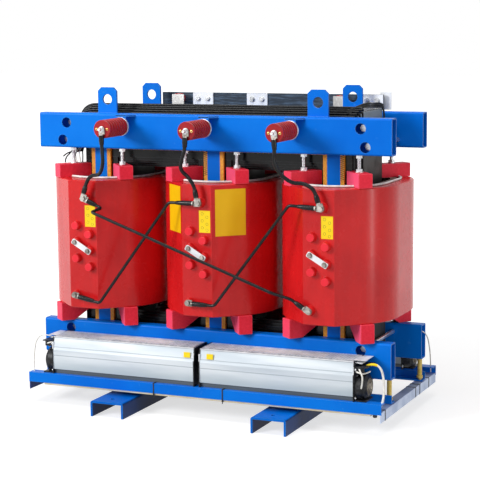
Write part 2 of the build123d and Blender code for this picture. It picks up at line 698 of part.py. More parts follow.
with BuildPart() as lv_flags:
    with BuildSketch(Plane.XZ.offset(-BUS_FACE_Y)):
        with Locations(*[(flag_x, bus_middle_z) for flag_x in FLAG_X]):
            RectangleRounded(FLAG_WIDTH, BUS_TOP - BUS_BOTTOM, 2)
        with Locations(*flag_holes):
            Circle(FLAG_HOLE_R, mode=Mode.SUBTRACT)
    extrude(amount=FLAG_THICK)
    with BuildSketch(Plane.XZ.offset(-RISER_Y - RISER_THICK / 2 - FLAG_THICK)):
        with Locations((END_FLAG_X, (END_FLAG_BOTTOM + END_FLAG_TOP) / 2)):
            RectangleRounded(END_FLAG_WIDTH, END_FLAG_TOP - END_FLAG_BOTTOM, 2)
    extrude(amount=FLAG_THICK)
save(lv_flags.part, "lv_flags")

# Standoffs that hold the bus bar: a red post on a small angle on the rear beam
with BuildPart() as bus_standoffs:
    for support_x in SUPPORT_X:
        with BuildSketch(front_plane(support_x, -BUS_FACE_Y, bus_middle_z)):
            Circle(SUPPORT_R)
        extrude(amount=BUS_FACE_Y - SUPPORT_BASE_Y)
save(bus_standoffs.part, "bus_standoffs")

with BuildPart() as standoff_angles:
    for support_x in SUPPORT_X:
        with BuildSketch(Plane.YZ.offset(support_x - 40)):
            with BuildLine():
                angle_z = TOP_BEAM_Z + BEAM_HEIGHT + 2
                FilletPolyline((BEAM_INNER_Y + 8, angle_z), (SUPPORT_BASE_Y - 2, angle_z),
                               (SUPPORT_BASE_Y - 2, BUS_TOP - 6), radius=5)
            trace(line_width=4)
        extrude(amount=52)
save(standoff_angles.part, "standoff_angles")


# Blower fans in front of and behind the bottom beams
def make_fan(left_x, right_x):
    """A front blower housing: a creased sheet front, a flat top and a sloping back."""
    with BuildPart() as fan:
        with BuildSketch(Plane.YZ.offset(left_x)):
            with BuildLine():
                Polyline((-FAN_FRONT_Y + FAN_LEAN, FAN_BOTTOM), (-FAN_FRONT_Y + FAN_LEAN, FAN_SKIRT),
                         (-FAN_FRONT_Y + 2, FAN_SKIRT), (-FAN_FRONT_Y, FAN_CREASE),
                         (-FAN_FRONT_Y + FAN_LEAN, FAN_TOP), (-FAN_BACK_Y, FAN_TOP + 5),
                         (-FAN_BACK_Y, FAN_CREASE - 20), (-FAN_BACK_Y - 46, FAN_BOTTOM), close=True)
            make_face()
        extrude(amount=right_x - left_x)
    return fan


def make_end_plate(x):
    """A black sheet plate that follows the housing's section, a little larger."""
    with BuildPart() as plate:
        with BuildSketch(Plane.YZ.offset(x)):
            with BuildLine():
                Polyline((-FAN_FRONT_Y - 2, FAN_BOTTOM), (-FAN_FRONT_Y - 2, FAN_CREASE),
                         (-FAN_FRONT_Y + FAN_LEAN - 2, FAN_TOP + 3), (-FAN_BACK_Y, FAN_TOP + 8),
                         (-FAN_BACK_Y, FAN_CREASE - 20), (-FAN_BACK_Y - 46, FAN_BOTTOM), close=True)
            make_face()
        extrude(amount=FAN_PLATE)
    return plate


for side_name, (left_x, right_x) in FAN_SPANS.items():
    front_fan = make_fan(left_x, right_x)
    save(front_fan.part, f"fan_front_{side_name}")
    with BuildPart() as rear_fan:
        mirror(front_fan.part, about=Plane.XZ)
    save(rear_fan.part, f"fan_rear_{side_name}")

plate_x = [FAN_SPANS["left"][0] - FAN_PLATE, FAN_SPANS["left"][1], FAN_SPANS["right"][0] - FAN_PLATE,
           FAN_SPANS["right"][1]]
with BuildPart() as fan_ends:
    for x in plate_x:
        plate = make_end_plate(x)
        add(plate.part)
        mirror(plate.part, about=Plane.XZ)
save(fan_ends.part, "fan_ends")

with BuildPart() as fan_motors:
    for motor_y in (-MOTOR_Y, MOTOR_Y):
        for motor_x, sign in ((plate_x[0], -1), (plate_x[-1] + FAN_PLATE, 1)):
            with BuildSketch(Plane(origin=(motor_x, motor_y, MOTOR_Z), z_dir=(sign, 0, 0))):
                Circle(MOTOR_R)
            extrude(amount=MOTOR_LENGTH)
    chamfer(edges().filter_by(GeomType.CIRCLE), MOTOR_EDGE)
save(fan_motors.part, "fan_motors")


# Tray frame: angles that carry the fans, hung from the bottom beams
def make_tray_side(depth):
    """The front angle: a standing face and a ledge that the fans sit on."""
    with BuildPart() as strip:
        with BuildSketch(Plane.YZ.offset(-TRAY_X)):
            with BuildLine():
                Polyline((-depth, TRAY_BOTTOM), (-depth, TRAY_TOP), (-depth + TRAY_LEDGE, TRAY_TOP),
                         (-depth + TRAY_LEDGE, TRAY_TOP - TRAY_THICK), (-depth + TRAY_THICK, TRAY_TOP - TRAY_THICK),
                         (-depth + TRAY_THICK, TRAY_BOTTOM), close=True)
            make_face()
        extrude(amount=2 * TRAY_X)
    return strip


tray_front = make_tray_side(TRAY_Y)
save(tray_front.part, "tray_front")
with BuildPart() as tray_rear:
    mirror(tray_front.part, about=Plane.XZ)
save(tray_rear.part, "tray_rear")

end_length = 2 * (TRAY_Y - TRAY_THICK)
ledge_top = TRAY_TOP - TRAY_THICK
ledge_bottom = ledge_top - TRAY_THICK
post_places = [(side_x * POST_X, side_y * POST_Y) for side_x in (-1, 1) for side_y in (-1, 1)]
with BuildPart() as tray_ends:
    for side in (-1, 1):
        outer_x, inner_x, ledge_x = side * TRAY_X, side * (TRAY_X - TRAY_THICK), side * (TRAY_X - TRAY_LEDGE)
        with BuildSketch(Plane.XZ.offset(-end_length / 2)):
            with BuildLine():
                Polyline((outer_x, TRAY_BOTTOM), (outer_x, ledge_top), (ledge_x, ledge_top),
                         (ledge_x, ledge_bottom), (inner_x, ledge_bottom), (inner_x, TRAY_BOTTOM), close=True)
            make_face()
        extrude(amount=end_length)
    with BuildSketch(Plane.XY.offset(ledge_bottom)):
        with Locations(*post_places):
            Circle(POST_R + STUD_CLEARANCE)
    extrude(amount=TRAY_THICK, mode=Mode.SUBTRACT)
save(tray_ends.part, "tray_ends")

# Hanger posts: threaded rods with nuts under the ledge, sleeved up to the bottom beams
with BuildPart() as hanger_posts:
    for level_z, thickness, radius in ((ledge_bottom - 18, BOTTOM_BEAM_Z - ledge_bottom + 18, POST_R),
                                       (ledge_top, BOTTOM_BEAM_Z - ledge_top, POST_SLEEVE_R),
                                       (ledge_bottom - 10, 10, POST_SLEEVE_R + 3)):
        with BuildSketch(Plane.XY.offset(level_z)):
            with Locations(*post_places):
                Circle(radius)
        extrude(amount=thickness)
save(hanger_posts.part, "hanger_posts")

# Cable duct behind the front angle
with BuildPart() as cable_duct:
    with BuildSketch(Plane.YZ.offset(-DUCT_HALF)):
        with Locations((-TRAY_Y + TRAY_THICK + DUCT_DEPTH / 2, (DUCT_BOTTOM + DUCT_TOP) / 2)):
            RectangleRounded(DUCT_DEPTH, DUCT_TOP - DUCT_BOTTOM, 5)
    extrude(amount=2 * DUCT_HALF)
save(cable_duct.part, "cable_duct")
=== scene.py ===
# Looks of the dry-type power transformer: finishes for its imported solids, and the small pieces that the solids
# leave out, such as leads, edging, guards, threads, labels and wires. Metres, +Z up, -Y is the high-voltage front.
import json
import math
from itertools import product

import bmesh
import bpy
from mathutils import Matrix, Vector


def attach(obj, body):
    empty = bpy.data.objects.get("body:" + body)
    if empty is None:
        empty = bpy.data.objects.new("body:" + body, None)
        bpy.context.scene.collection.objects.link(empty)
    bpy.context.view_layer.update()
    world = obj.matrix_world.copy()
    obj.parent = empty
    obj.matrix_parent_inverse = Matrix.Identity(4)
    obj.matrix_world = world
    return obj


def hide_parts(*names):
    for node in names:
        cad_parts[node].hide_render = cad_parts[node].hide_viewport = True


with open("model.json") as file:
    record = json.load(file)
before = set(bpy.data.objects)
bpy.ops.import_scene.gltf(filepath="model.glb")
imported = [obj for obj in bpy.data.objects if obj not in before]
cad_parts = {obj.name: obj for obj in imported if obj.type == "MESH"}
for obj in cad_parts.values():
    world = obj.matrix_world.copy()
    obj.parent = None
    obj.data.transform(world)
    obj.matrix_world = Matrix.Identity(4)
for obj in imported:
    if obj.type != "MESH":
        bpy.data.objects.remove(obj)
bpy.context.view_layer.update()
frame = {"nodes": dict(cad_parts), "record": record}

scene = bpy.context.scene
SLOT_OF = {subpart["node"]: subpart["material_slot"] for subpart in frame["record"]["subparts"]}
SIDES = (-1, 1)

# Places and sizes that the solids also have
PITCH = 0.481
PHASE_X = {"left": -PITCH, "middle": 0.0, "right": PITCH}
COIL_R = 0.222
COIL_STRAIGHT = 0.072
COIL_TOP = 0.885
PANEL_HALF = 0.06
PANEL_FRONT = 0.319
BOSS_FRONT_Y = -0.339
TERMINAL_TOP = (0.018, 0.819)
TERMINAL_BOTTOM = (-0.031, 0.444)
LEAD_DIAMETER = 0.014
LEAD_TOP_Y = -0.4085
LEAD_LOW_Y = -0.3515
ROD_Y = -0.3475
POST_X = {"left": -0.345, "middle": 0.0, "right": 0.345}
POST_Z = 1.088
POST_BASE_Y = -0.25
POST_FACE_Y = -0.4
POST_LENGTH = 0.15
BEAM_TOP_Z = 1.134
BEAM_FACE_Y = -0.2145
LUG_X = 0.432
LUG_Y = 0.188
BLOCK_TOP_Z = 0.937
BOLT_X = 0.107
TIE_X = 0.0335                       # middle of an insulating strip beside a tie plate
TIE_FACE_Y = 0.162
TIE_BOTTOM, TIE_TOP = 0.192, 1.126
BUS_Z = 1.17
FLAG_FACE_Y = 0.234
FLAG_X = (-0.225, 0.012, 0.493)
FLAG_HOLE_SPACING = 0.042
FAN_SPANS = {"left": (-0.62, -0.018), "right": (0.009, 0.615)}
FAN_FRONT_Y = -0.33
FAN_TOP_Z = 0.268
FAN_ENDS_X = {-1: -0.624, 1: 0.619}
MOTOR_Y, MOTOR_Z = 0.276, 0.171
TRAY_X = 0.726

# Sizes that are finer or other here than in the solids
CORE_TOP_Z, CORE_BOTTOM_Z = 1.045, 0.234             # middles of the yokes
CORE_PACKETS = [(0.096, 0.1075, 0.12), (0.09, 0.12, 0.1114), (0.083, 0.131, 0.1016), (0.075, 0.141, 0.0908),
                (0.066, 0.15, 0.0778)]              # half width, half depth, half height in the bottom yoke
YOKE_RISE, YOKE_DROP = 1.11, 1.25                    # top yoke over and under its middle, per half width
GROOVES_Z = (0.2295, 0.1965)
SLOT_TOP_Z = 0.1395
EDGING_R, EDGING_TUBE_R = 0.174, 0.0042
ROD_R = 0.0057
SLEEVE_START = 0.022                                 # from a lug's eye
SPECULAR = "Specular IOR Level"


# Node trees
class Value:
    """One output of a node; arithmetic on it adds Math nodes."""

    def __init__(self, builder, socket):
        self.builder = builder
        self.socket = socket

    def other(self, name):
        """Another output of the same node."""
        return Value(self.builder, self.socket.node.outputs[name])

    def math(self, operation, *terms):
        return self.builder.node("ShaderNodeMath", {"operation": operation}, dict(enumerate((self, *terms))))

    def __add__(self, term):
        return self.math("ADD", term)

    def __sub__(self, term):
        return self.math("SUBTRACT", term)

    def __rsub__(self, term):
        return self.math("MULTIPLY_ADD", -1.0, term)

    def __mul__(self, term):
        return self.math("MULTIPLY", term)

    __radd__ = __add__
    __rmul__ = __mul__


class Builder:
    """A node tree that is written as expressions."""

    def __init__(self, tree):
        self.tree = tree
        self.tree.nodes.clear()

    def node(self, kind, settings=None, inputs=None, output=0):
        """Add a node: its settings first, then the values or links of its sockets."""
        made = self.tree.nodes.new(kind)
        for name, value in (settings or {}).items():
            setattr(made, name, value)
        for key, value in (inputs or {}).items():
            for link in value if isinstance(value, list) else [value]:
                if isinstance(link, Value):
                    self.tree.links.new(link.socket, made.inputs[key])
                else:
                    made.inputs[key].default_value = link
        return Value(self, made.outputs[output])

    def end(self, kind, name, value):
        """Add the tree's output node."""
        self.tree.links.new(value.socket, self.tree.nodes.new(kind).inputs[name])

    def direct_rays(self):
        """1 for what the camera or gloss sees, 0 for light on its way."""
        kinds = self.node("ShaderNodeLightPath", output="Is Camera Ray")
        return kinds.math("MAXIMUM", kinds.other("Is Glossy Ray")).math("MAXIMUM", kinds.other("Is Transmission Ray"))


class Paint(Builder):
    """The node tree of a material."""

    def __init__(self, name):
        self.material = bpy.data.materials.new(name)
        self.material.use_nodes = True
        super().__init__(self.material.node_tree)

    def place(self):
        """Object coordinates, in metres, as the solids have them."""
        return self.node("ShaderNodeTexCoord", output="Object")

    def stretched(self, scale):
        """Object coordinates with each axis scaled on its own."""
        return self.node("ShaderNodeMapping", inputs={"Vector": self.place(), "Scale": scale})

    def noise(self, scale, detail=3.0, coordinates=None):
        coordinates = coordinates or self.place()
        return self.node("ShaderNodeTexNoise", inputs={"Vector": coordinates, "Scale": scale, "Detail": detail})

    def bands(self, profile, scale, distortion, detail):
        """Stripes across the depth."""
        return self.node("ShaderNodeTexWave", {"bands_direction": "Y", "wave_profile": profile}, {
            "Vector": self.place(), "Scale": scale, "Distortion": distortion, "Detail": detail}, "Fac")

    def ramp(self, value, low, high):
        """0 below low, 1 above high, smooth between."""
        return self.node("ShaderNodeMapRange", {"interpolation_type": "SMOOTHSTEP"}, {
            "Value": value, "From Min": low, "From Max": high})

    def blend(self, factor, *tones):
        """A colour between two colours."""
        first, second = (tone if isinstance(tone, Value) else colour(*tone) for tone in tones)
        return self.node("ShaderNodeMix", {"data_type": "RGBA"}, {0: factor, 6: first, 7: second}, output=2)

    def axis(self, name):
        """One coordinate of the place."""
        return self.node("ShaderNodeSeparateXYZ", inputs={0: self.place()}, output=name)

    def facing(self, name):
        """One component of the surface's direction."""
        normal = self.node("ShaderNodeNewGeometry", output="Normal")
        return self.node("ShaderNodeSeparateXYZ", inputs={0: normal}, output=name)

    def edges(self, radius):
        """1 on sharp edges, 0 on flat ground."""
        rounded = self.node("ShaderNodeBevel", {"samples": 4}, {"Radius": radius})
        flat = self.node("ShaderNodeNewGeometry", output="Normal")
        likeness = self.node("ShaderNodeVectorMath", {"operation": "DOT_PRODUCT"}, {0: rounded, 1: flat}, "Value")
        return self.ramp(1 - likeness, 0.02, 0.22)

    def finish(self, tone, roughness, relief, others=None):
        """Close the tree with one Principled shader; relief is (height, distance, strength)."""
        bump = self.node("ShaderNodeBump", inputs=dict(zip(("Height", "Distance", "Strength"), relief)))
        shader = self.node("ShaderNodeBsdfPrincipled", inputs={
            "Base Color": tone, "Roughness": roughness, "Normal": bump, **(others or {})})
        self.end("ShaderNodeOutputMaterial", "Surface", shader)
        return self.material


def colour(red, green, blue):
    """A colour as it is read on a screen, 0 to 255, as linear light."""
    return tuple(((c / 255 + 0.055) / 1.055) ** 2.4 if c > 10 else c / 255 / 12.92 for c in (red, green, blue)) + (1,)


# Finishes
def enamel(name, ground, dark, rim, painted_side_shade=0.0):
    """Gloss paint on steel: slow drift, orange peel, rubbed spots, pale rims, and painted shade that darkens the
    sides facing +X.
    """
    paint = Paint(name)
    rubbed = paint.ramp(paint.noise(34.0, 6.0), 0.66, 0.8)
    tone = paint.blend(paint.ramp(paint.noise(3.0, 4.0), 0.3, 0.72), dark, ground)
    tone = paint.blend(rubbed * 0.2, tone, rim)
    # painted shade: sides that face +X are blended towards navy, standing in for the shade they lie in
    tone = paint.blend(paint.ramp(paint.facing("X"), 0.5, 0.9) * painted_side_shade, tone, (0, 22, 66))
    tone = paint.blend(paint.edges(0.0018) * 0.55, tone, rim)
    peel = paint.noise(420.0, 2.0) * 0.4 + paint.noise(30.0, 3.0)
    return paint.finish(tone, 0.24 + 0.16 * paint.noise(12.0, 3.0) + 0.2 * rubbed, (peel, 0.0004, 0.6),
                        {SPECULAR: 0.09})


def cast_resin(name, ground, dark, rim, gloss):
    """Cast epoxy: mottled pigment, faint upright mould streaks, pale worn edges."""
    paint = Paint(name)
    streaks = paint.noise(9.0, 3.0, paint.stretched((6.0, 6.0, 0.5)))
    tone = paint.blend(paint.ramp(paint.noise(5.0, 5.0) + 0.35 * streaks, 0.45, 0.95), dark, ground)
    tone = paint.blend(paint.edges(0.0022) * 0.45, tone, rim)
    waves = streaks * 0.5 + paint.noise(55.0, 3.0) * 0.5
    return paint.finish(tone, gloss + 0.14 * paint.noise(16.0, 4.0), (waves, 0.0012, 0.35),
                        {SPECULAR: 0.22, "Coat Weight": 0.06, "Coat Roughness": 0.12})


def moulded_block(name):
    """Glass-filled polyester: pinkish red, duller, with painted light that makes the faces turned towards -X paler
    pink.
    """
    paint = Paint(name)
    speckle = paint.noise(130.0, 5.0)
    # painted light: faces turned towards -X, where the key lamp falls, are painted paler pink
    painted_left_light = paint.ramp(0 - paint.facing("X"), 0.45, 0.8)
    tone = paint.blend(paint.ramp(speckle, 0.3, 0.75), (228, 36, 58), (238, 48, 70))
    tone = paint.blend(painted_left_light * 0.6, tone, (255, 104, 146))
    tone = paint.blend(paint.edges(0.0016) * 0.5, tone, (250, 140, 160))
    return paint.finish(tone, 0.42 + 0.1 * speckle, (speckle, 0.0003, 0.3), {SPECULAR: 0.18})


def laminated_core(name):
    """Varnished sheet steel: black, with ribbed sheet ends that are grey above the beams."""
    paint = Paint(name)
    sheets = paint.bands("SIN", 52.0, 0.5, 2.0)
    ribs = paint.bands("SAW", 29.0, 0.2, 1.0)
    cut = paint.ramp(paint.facing("X"), 0.5, 0.9)
    ground = paint.ramp(paint.noise(18.0, 4.0, paint.stretched((0.4, 1.0, 1.0))), 0.35, 0.75)
    rib_tone = paint.ramp(ribs, 0.08, 0.45)
    ends = paint.blend(paint.ramp(paint.axis("Z"), 1.1, 1.13), paint.blend(rib_tone, (8, 8, 9), (44, 42, 40)),
                       paint.blend(rib_tone, (78, 86, 96), (122, 134, 146)))
    tone = paint.blend(cut, paint.blend(0.6 * sheets + 0.4 * ground, (4, 5, 6), (20, 22, 25)), ends)
    tone = paint.blend(paint.edges(0.0025) * (1 - cut) * 0.5, tone, (96, 100, 106))
    return paint.finish(tone, 0.16 + 0.2 * ground + 0.25 * cut, (sheets * (1 - cut) + 2.0 * ribs * cut, 0.001, 0.6),
                        {SPECULAR: 0.22})


def glass_epoxy(name):
    """Amber insulating sheet with a fine weave."""
    paint = Paint(name)
    weave = paint.noise(260.0, 2.0, paint.stretched((1.0, 1.0, 0.4)))
    tone = paint.blend(paint.ramp(weave + 0.4 * paint.noise(12.0), 0.4, 0.95), (206, 122, 14), (246, 172, 40))
    return paint.finish(tone, 0.4 + 0.15 * weave, (weave, 0.0004, 0.5))


def bare_metal(name, bright, dull, roughness, grain=(1.0, 1.0, 1.0)):
    """Plated metal: grain along one axis, cloudy patches and handling marks."""
    paint = Paint(name)
    lines = paint.noise(60.0, 4.0, paint.stretched(grain))
    cloud = paint.noise(14.0, 5.0)
    tone = paint.blend(paint.ramp(0.6 * cloud + 0.4 * lines, 0.32, 0.66), dull, bright)
    return paint.finish(tone, roughness + 0.16 * cloud + 0.1 * lines, (lines, 0.0003, 0.4), {"Metallic": 0.9})


def blower_sheet(name):
    """Bright sheet of the blower housings, with painted shade: darker in two pressed grooves, greyer low on the front
    faces and dark grey at the foot, where the slot is.
    """
    paint = Paint(name)
    height = paint.axis("Z")
    front = paint.ramp(paint.facing("Y").math("ABSOLUTE"), 0.5, 0.8)
    cloud = paint.noise(6.0, 4.0, paint.stretched((0.4, 2.0, 3.0)))
    upper, lower = (height.math("COMPARE", groove_z, 0.0016) for groove_z in GROOVES_Z)
    pressed_groove_and_shade = upper + lower
    # painted shade: the front faces turn greyer towards the bottom
    lower_front_shade = 1 - paint.ramp(height, 0.144, 0.198)
    # painted shade: everything below SLOT_TOP_Z is painted dark grey for the shaded slot at the foot
    slot = height.math("LESS_THAN", SLOT_TOP_Z) * (1 - 0.25 * cloud)
    tone = paint.blend(paint.ramp(cloud, 0.3, 0.7), (192, 202, 210), (218, 225, 230))
    tone = paint.blend(lower_front_shade * front * 0.55, tone, (158, 174, 180))
    # painted shade in the two pressed grooves, which the bump also dents
    tone = paint.blend(pressed_groove_and_shade * front * 0.55, tone, (140, 152, 160))
    tone = paint.blend(slot, tone, (70, 78, 80))
    return paint.finish(tone, 0.34 + 0.14 * cloud, (cloud - pressed_groove_and_shade * front, 0.0012, 0.5),
                        {"Metallic": 0.15, SPECULAR: 0.3})


def end_angle_finish(name):
    """Bare zinc on the right end angle, dark blue paint on the left one."""
    paint = Paint(name)
    cloud = paint.noise(14.0, 5.0)
    bare = paint.blend(paint.ramp(cloud, 0.32, 0.66), (160, 176, 206), (196, 208, 230))
    on_right = paint.axis("X").math("GREATER_THAN", 0.0)
    return paint.finish(paint.blend(on_right, (0, 50, 122), bare), 0.3 + 0.2 * cloud, (cloud, 0.0003, 0.4),
                        {"Metallic": 0.5 * on_right, SPECULAR: 0.2})


def black_coat(name, ground, light, roughness, grain=(1.0, 1.0, 1.0)):
    """Dark paint, rubber or sleeve with lint, dust and rubbed edges."""
    paint = Paint(name)
    lint = paint.noise(90.0, 5.0, paint.stretched(grain))
    tone = paint.blend(paint.ramp(lint, 0.42, 0.78), ground, light)
    tone = paint.blend(paint.edges(0.0012) * 0.35, tone, light)
    return paint.finish(tone, roughness + 0.2 * lint, (lint, 0.0004, 0.5), {SPECULAR: 0.22})


def plain_film(name, ground, light, roughness, scale=60.0):
    """A smooth printed film, tape or soft tube with slight unevenness."""
    paint = Paint(name)
    cloud = paint.noise(scale, 4.0)
    tone = paint.blend(paint.ramp(cloud, 0.3, 0.7), ground, light)
    return paint.finish(tone, roughness + 0.12 * cloud, (cloud, 0.0003, 0.4), {SPECULAR: 0.3})


RECIPES = {
    # the last number of beam_blue and rail_blue is the strength of the painted shade on their +X sides
    "beam_blue": (enamel, (4, 120, 226), (0, 104, 212), (110, 180, 240), 0.35),
    "rail_blue": (enamel, (4, 112, 212), (0, 92, 188), (96, 156, 220), 0.85),
    "core_black": (laminated_core,),
    "insulation_orange": (glass_epoxy,),
    "resin_red": (cast_resin, (214, 30, 32), (192, 22, 26), (240, 110, 96), 0.2),
    "lv_resin": (plain_film, (96, 84, 76), (132, 120, 108), 0.55, 24.0),
    "block_red": (moulded_block,),
    "zinc": (bare_metal, (226, 228, 230), (176, 178, 182), 0.18, (1.0, 1.0, 4.0)),
    "edging_white": (plain_film, (206, 206, 204), (240, 240, 238), 0.4),
    "insulator_red": (cast_resin, (172, 28, 34), (140, 18, 26), (216, 96, 92), 0.24),
    "lead_black": (black_coat, (9, 10, 11), (27, 30, 33), 0.2),
    "rod_black": (black_coat, (9, 10, 12), (30, 33, 37), 0.14, (0.4, 1.0, 0.4)),
    "tinned": (bare_metal, (214, 214, 212), (168, 168, 168), 0.22, (3.0, 1.0, 1.0)),
    "bus_slate": (black_coat, (38, 50, 62), (84, 104, 124), 0.4, (0.25, 1.0, 3.0)),
    "fan_sheet": (blower_sheet,),
    "black_sheet": (black_coat, (16, 17, 19), (60, 62, 66), 0.3),
    "duct_beige": (plain_film, (214, 200, 168), (236, 226, 202), 0.5, 18.0),
    "galvanised": (bare_metal, (206, 216, 232), (168, 180, 204), 0.4, (1.0, 0.3, 1.0)),
    "label_yellow": (plain_film, (238, 186, 4), (244, 194, 8), 0.34, 8.0),
    "sticker_yellow": (plain_film, (246, 210, 12), (252, 222, 30), 0.34, 12.0),
    "ink_black": (plain_film, (26, 26, 28), (48, 48, 50), 0.5),
    "brass": (bare_metal, (232, 204, 128), (186, 146, 66), 0.22),
    "sleeve_yellow": (plain_film, (214, 182, 84), (236, 208, 120), 0.45),
    "wire_white": (plain_film, (216, 214, 206), (242, 240, 232), 0.4),
    "guard_beige": (plain_film, (222, 196, 158), (246, 230, 204), 0.55, 40.0),
    # painted shade: grey for the hollow under the blower guards
    "hollow_grey": (plain_film, (150, 156, 162), (216, 220, 224), 0.7),
    "weld_blue": (enamel, (16, 116, 214), (2, 92, 194), (140, 190, 236)),
    "lug_metal": (bare_metal, (176, 172, 166), (104, 100, 94), 0.26, (1.0, 1.0, 2.0)),
    "flag_white": (plain_film, (224, 228, 232), (244, 246, 248), 0.26, 9.0),
    "cap_red": (cast_resin, (240, 44, 60), (226, 34, 50), (255, 120, 120), 0.26),
    "motor_grey": (bare_metal, (150, 142, 128), (92, 86, 78), 0.3),
    "flange_white": (plain_film, (206, 212, 218), (240, 242, 244), 0.36, 30.0),
    "end_angles": (end_angle_finish,),
}
FINISH = {name: recipe(name, *values) for name, (recipe, *values) in RECIPES.items()}
OWN_FINISH = {"hanger_posts": "sleeve_yellow", "lead_lugs": "lug_metal", "rod_lugs": "lug_metal",
              "terminal_bolts": "lug_metal", "lv_flags": "flag_white", "standoff_angles": "flag_white"}
for node_name, finish_name in {**SLOT_OF, **OWN_FINISH}.items():
    for material_slot in frame["nodes"][node_name].material_slots:
        material_slot.material = FINISH[finish_name]


# Mesh building
def piece(name, data, slot_name, finish_name=None, stands_for=None):
    """Link a mesh or a curve as a piece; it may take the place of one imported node."""
    made = bpy.data.objects.new(name, data)
    scene.collection.objects.link(made)
    data.materials.clear()
    data.materials.append(FINISH[finish_name or slot_name])
    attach(made, "root")
    if stands_for:
        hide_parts(stands_for)
    return made


def added(name, form, slot_name, finish_name=None, smooth=True, stands_for=None):
    """A finished form as a piece, with its faces turned outwards."""
    bmesh.ops.recalc_face_normals(form, faces=form.faces)
    mesh = bpy.data.meshes.new(name)
    form.to_mesh(mesh)
    form.free()
    for polygon in mesh.polygons:
        polygon.use_smooth = smooth
    if smooth:
        mesh.set_sharp_from_angle(angle=math.radians(35))
    return piece(name, mesh, slot_name, finish_name, stands_for)


def rebuilt(name, form, node_name, smooth=True):
    """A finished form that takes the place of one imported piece, in that piece's slot."""
    return added(name, form, SLOT_OF[node_name], None, smooth, node_name)


def forms(count):
    """Several empty forms."""
    return [bmesh.new() for _ in range(count)]


def add_turned(form, start, direction, profile, sides=32):
    """A closed turned shape: profile gives (distance along the axis, radius) from end to end."""
    place = Matrix.Translation(start) @ Vector(direction).to_track_quat("Z", "Y").to_matrix().to_4x4()
    add_stack(form, [[place @ Vector((radius * math.cos(2 * math.pi * k / sides),
                                      radius * math.sin(2 * math.pi * k / sides), along)) for k in range(sides)]
                     for along, radius in profile])


def add_block(form, middle, size, turn=None):
    """A rectangular block."""
    place = Matrix.Translation(middle) @ (turn or Matrix.Identity(4)) @ Matrix.Diagonal((*size, 1))
    bmesh.ops.create_cube(form, size=1.0, matrix=place)


def add_stack(form, rings):
    """A closed solid through rings of as many points."""
    levels = [[form.verts.new(point) for point in ring] for ring in rings]
    for low, high in zip(levels, levels[1:]):
        for k in range(len(low)):
            following = (k + 1) % len(low)
            form.faces.new((low[k], low[following], high[following], high[k]))
    form.faces.new(levels[0])
    form.faces.new(levels[-1])


def rounded(corners, steps=8):
    """An outline from corners (x, y, radius), with arcs at those that have a radius."""
    outline = []
    for k, (x, y, radius) in enumerate(corners):
        here = Vector((x, y))
        if not radius:
            outline.append(here)
            continue
        towards_last = (Vector(corners[k - 1][:2]) - here).normalized()
        towards_next = (Vector(corners[(k + 1) % len(corners)][:2]) - here).normalized()
        half = towards_last.angle(towards_next) / 2
        centre = here + (towards_last + towards_next).normalized() * radius / math.sin(half)
        first = (here + towards_last * radius / math.tan(half) - centre).normalized()
        last = (here + towards_next * radius / math.tan(half) - centre).normalized()
        outline += [centre + first.slerp(last, step / steps) * radius for step in range(steps + 1)]
    return outline


def add_along_y(form, outline, near, far):
    """A solid with an (x, z) outline, from one depth to another."""
    add_stack(form, [[(u, depth, v) for u, v in outline] for depth in (near, far)])


def add_along_x(form, outline, left, right):
    """A solid with a (y, z) outline, from one end to the other."""
    add_stack(form, [[(end, u, v) for u, v in outline] for end in (left, right)])


def soften(form, width):
    """Round every edge a little."""
    bmesh.ops.bevel(form, geom=form.edges[:], offset=width, segments=2, affect="EDGES", clamp_overlap=True)


def smooth_line(name, points, radius):
    """A round tube on a NURBS line through its control points."""
    curve = bpy.data.curves.new(name, "CURVE")
    curve.dimensions = "3D"
    curve.bevel_depth = radius
    curve.bevel_resolution = 5
    curve.use_fill_caps = True
    spline = curve.splines.new("NURBS")
    spline.points.add(len(points) - 1)
    for point, place in zip(spline.points, points):
        point.co = (*place, 1.0)
    spline.order_u = 3
    spline.use_endpoint_u = True
    spline.resolution_u = 12
    return curve


def held_lines(name, lines, slot_name, finish_name=None, stands_for=None):
    """Tubes that are held along their way, given as {radius: routes}, in one mesh piece."""
    form = bmesh.new()
    for radius, points in ((radius, route) for radius, routes in lines.items() for route in routes):
        holder = bpy.data.objects.new("line", smooth_line("line", points, radius))
        scene.collection.objects.link(holder)
        form.from_mesh(bpy.data.meshes.new_from_object(
            holder.evaluated_get(bpy.context.evaluated_depsgraph_get())))
        bpy.data.objects.remove(holder)
    return added(name, form, slot_name, finish_name, stands_for=stands_for)


def free_cord(name, route, length, diameter, slot_name, finish_name=None, stands_for=None):
    """A cord that hangs free between two parts of the transformer, drawn here as a round tube along its given route.
    """
    cord = piece(name, smooth_line(name, route, diameter / 2), slot_name, finish_name, stands_for)
    route[0]


# Geometry Nodes
class Growth(Builder):
    """A Geometry Nodes tree with named inputs: numbers unless the name is in KINDS."""

    KINDS = {"Geometry": "Geometry", "Material": "Material", "Columns": "Int", "Rows": "Int", "Seed": "Int",
             "Centre": "Vector", "Facing": "Rotation"}

    def __init__(self, name, *inputs):
        super().__init__(bpy.data.node_groups.new(name, "GeometryNodeTree"))
        for given in ("Geometry", *inputs, "Material"):
            kind = f"NodeSocket{self.KINDS.get(given, 'Float')}"
            self.tree.interface.new_socket(given, in_out="INPUT", socket_type=kind)
        self.tree.interface.new_socket("Geometry", in_out="OUTPUT", socket_type="NodeSocketGeometry")
        self.given = self.node("NodeGroupInput")

    def __getitem__(self, name):
        """One of the named inputs."""
        return self.given.other(name)

    def step(self, kind, settings=None, **inputs):
        """Add a Geometry Nodes node whose sockets are given by keyword, with _ for a space."""
        return self.node(f"GeometryNode{kind}", settings, {key.replace("_", " "): inputs[key] for key in inputs})

    def close(self, geometry):
        """End with Realize Instances and Set Material."""
        real = self.step("RealizeInstances", Geometry=geometry)
        self.end("NodeGroupOutput", "Geometry", self.step("SetMaterial", Geometry=real, Material=self["Material"]))
        return self.tree


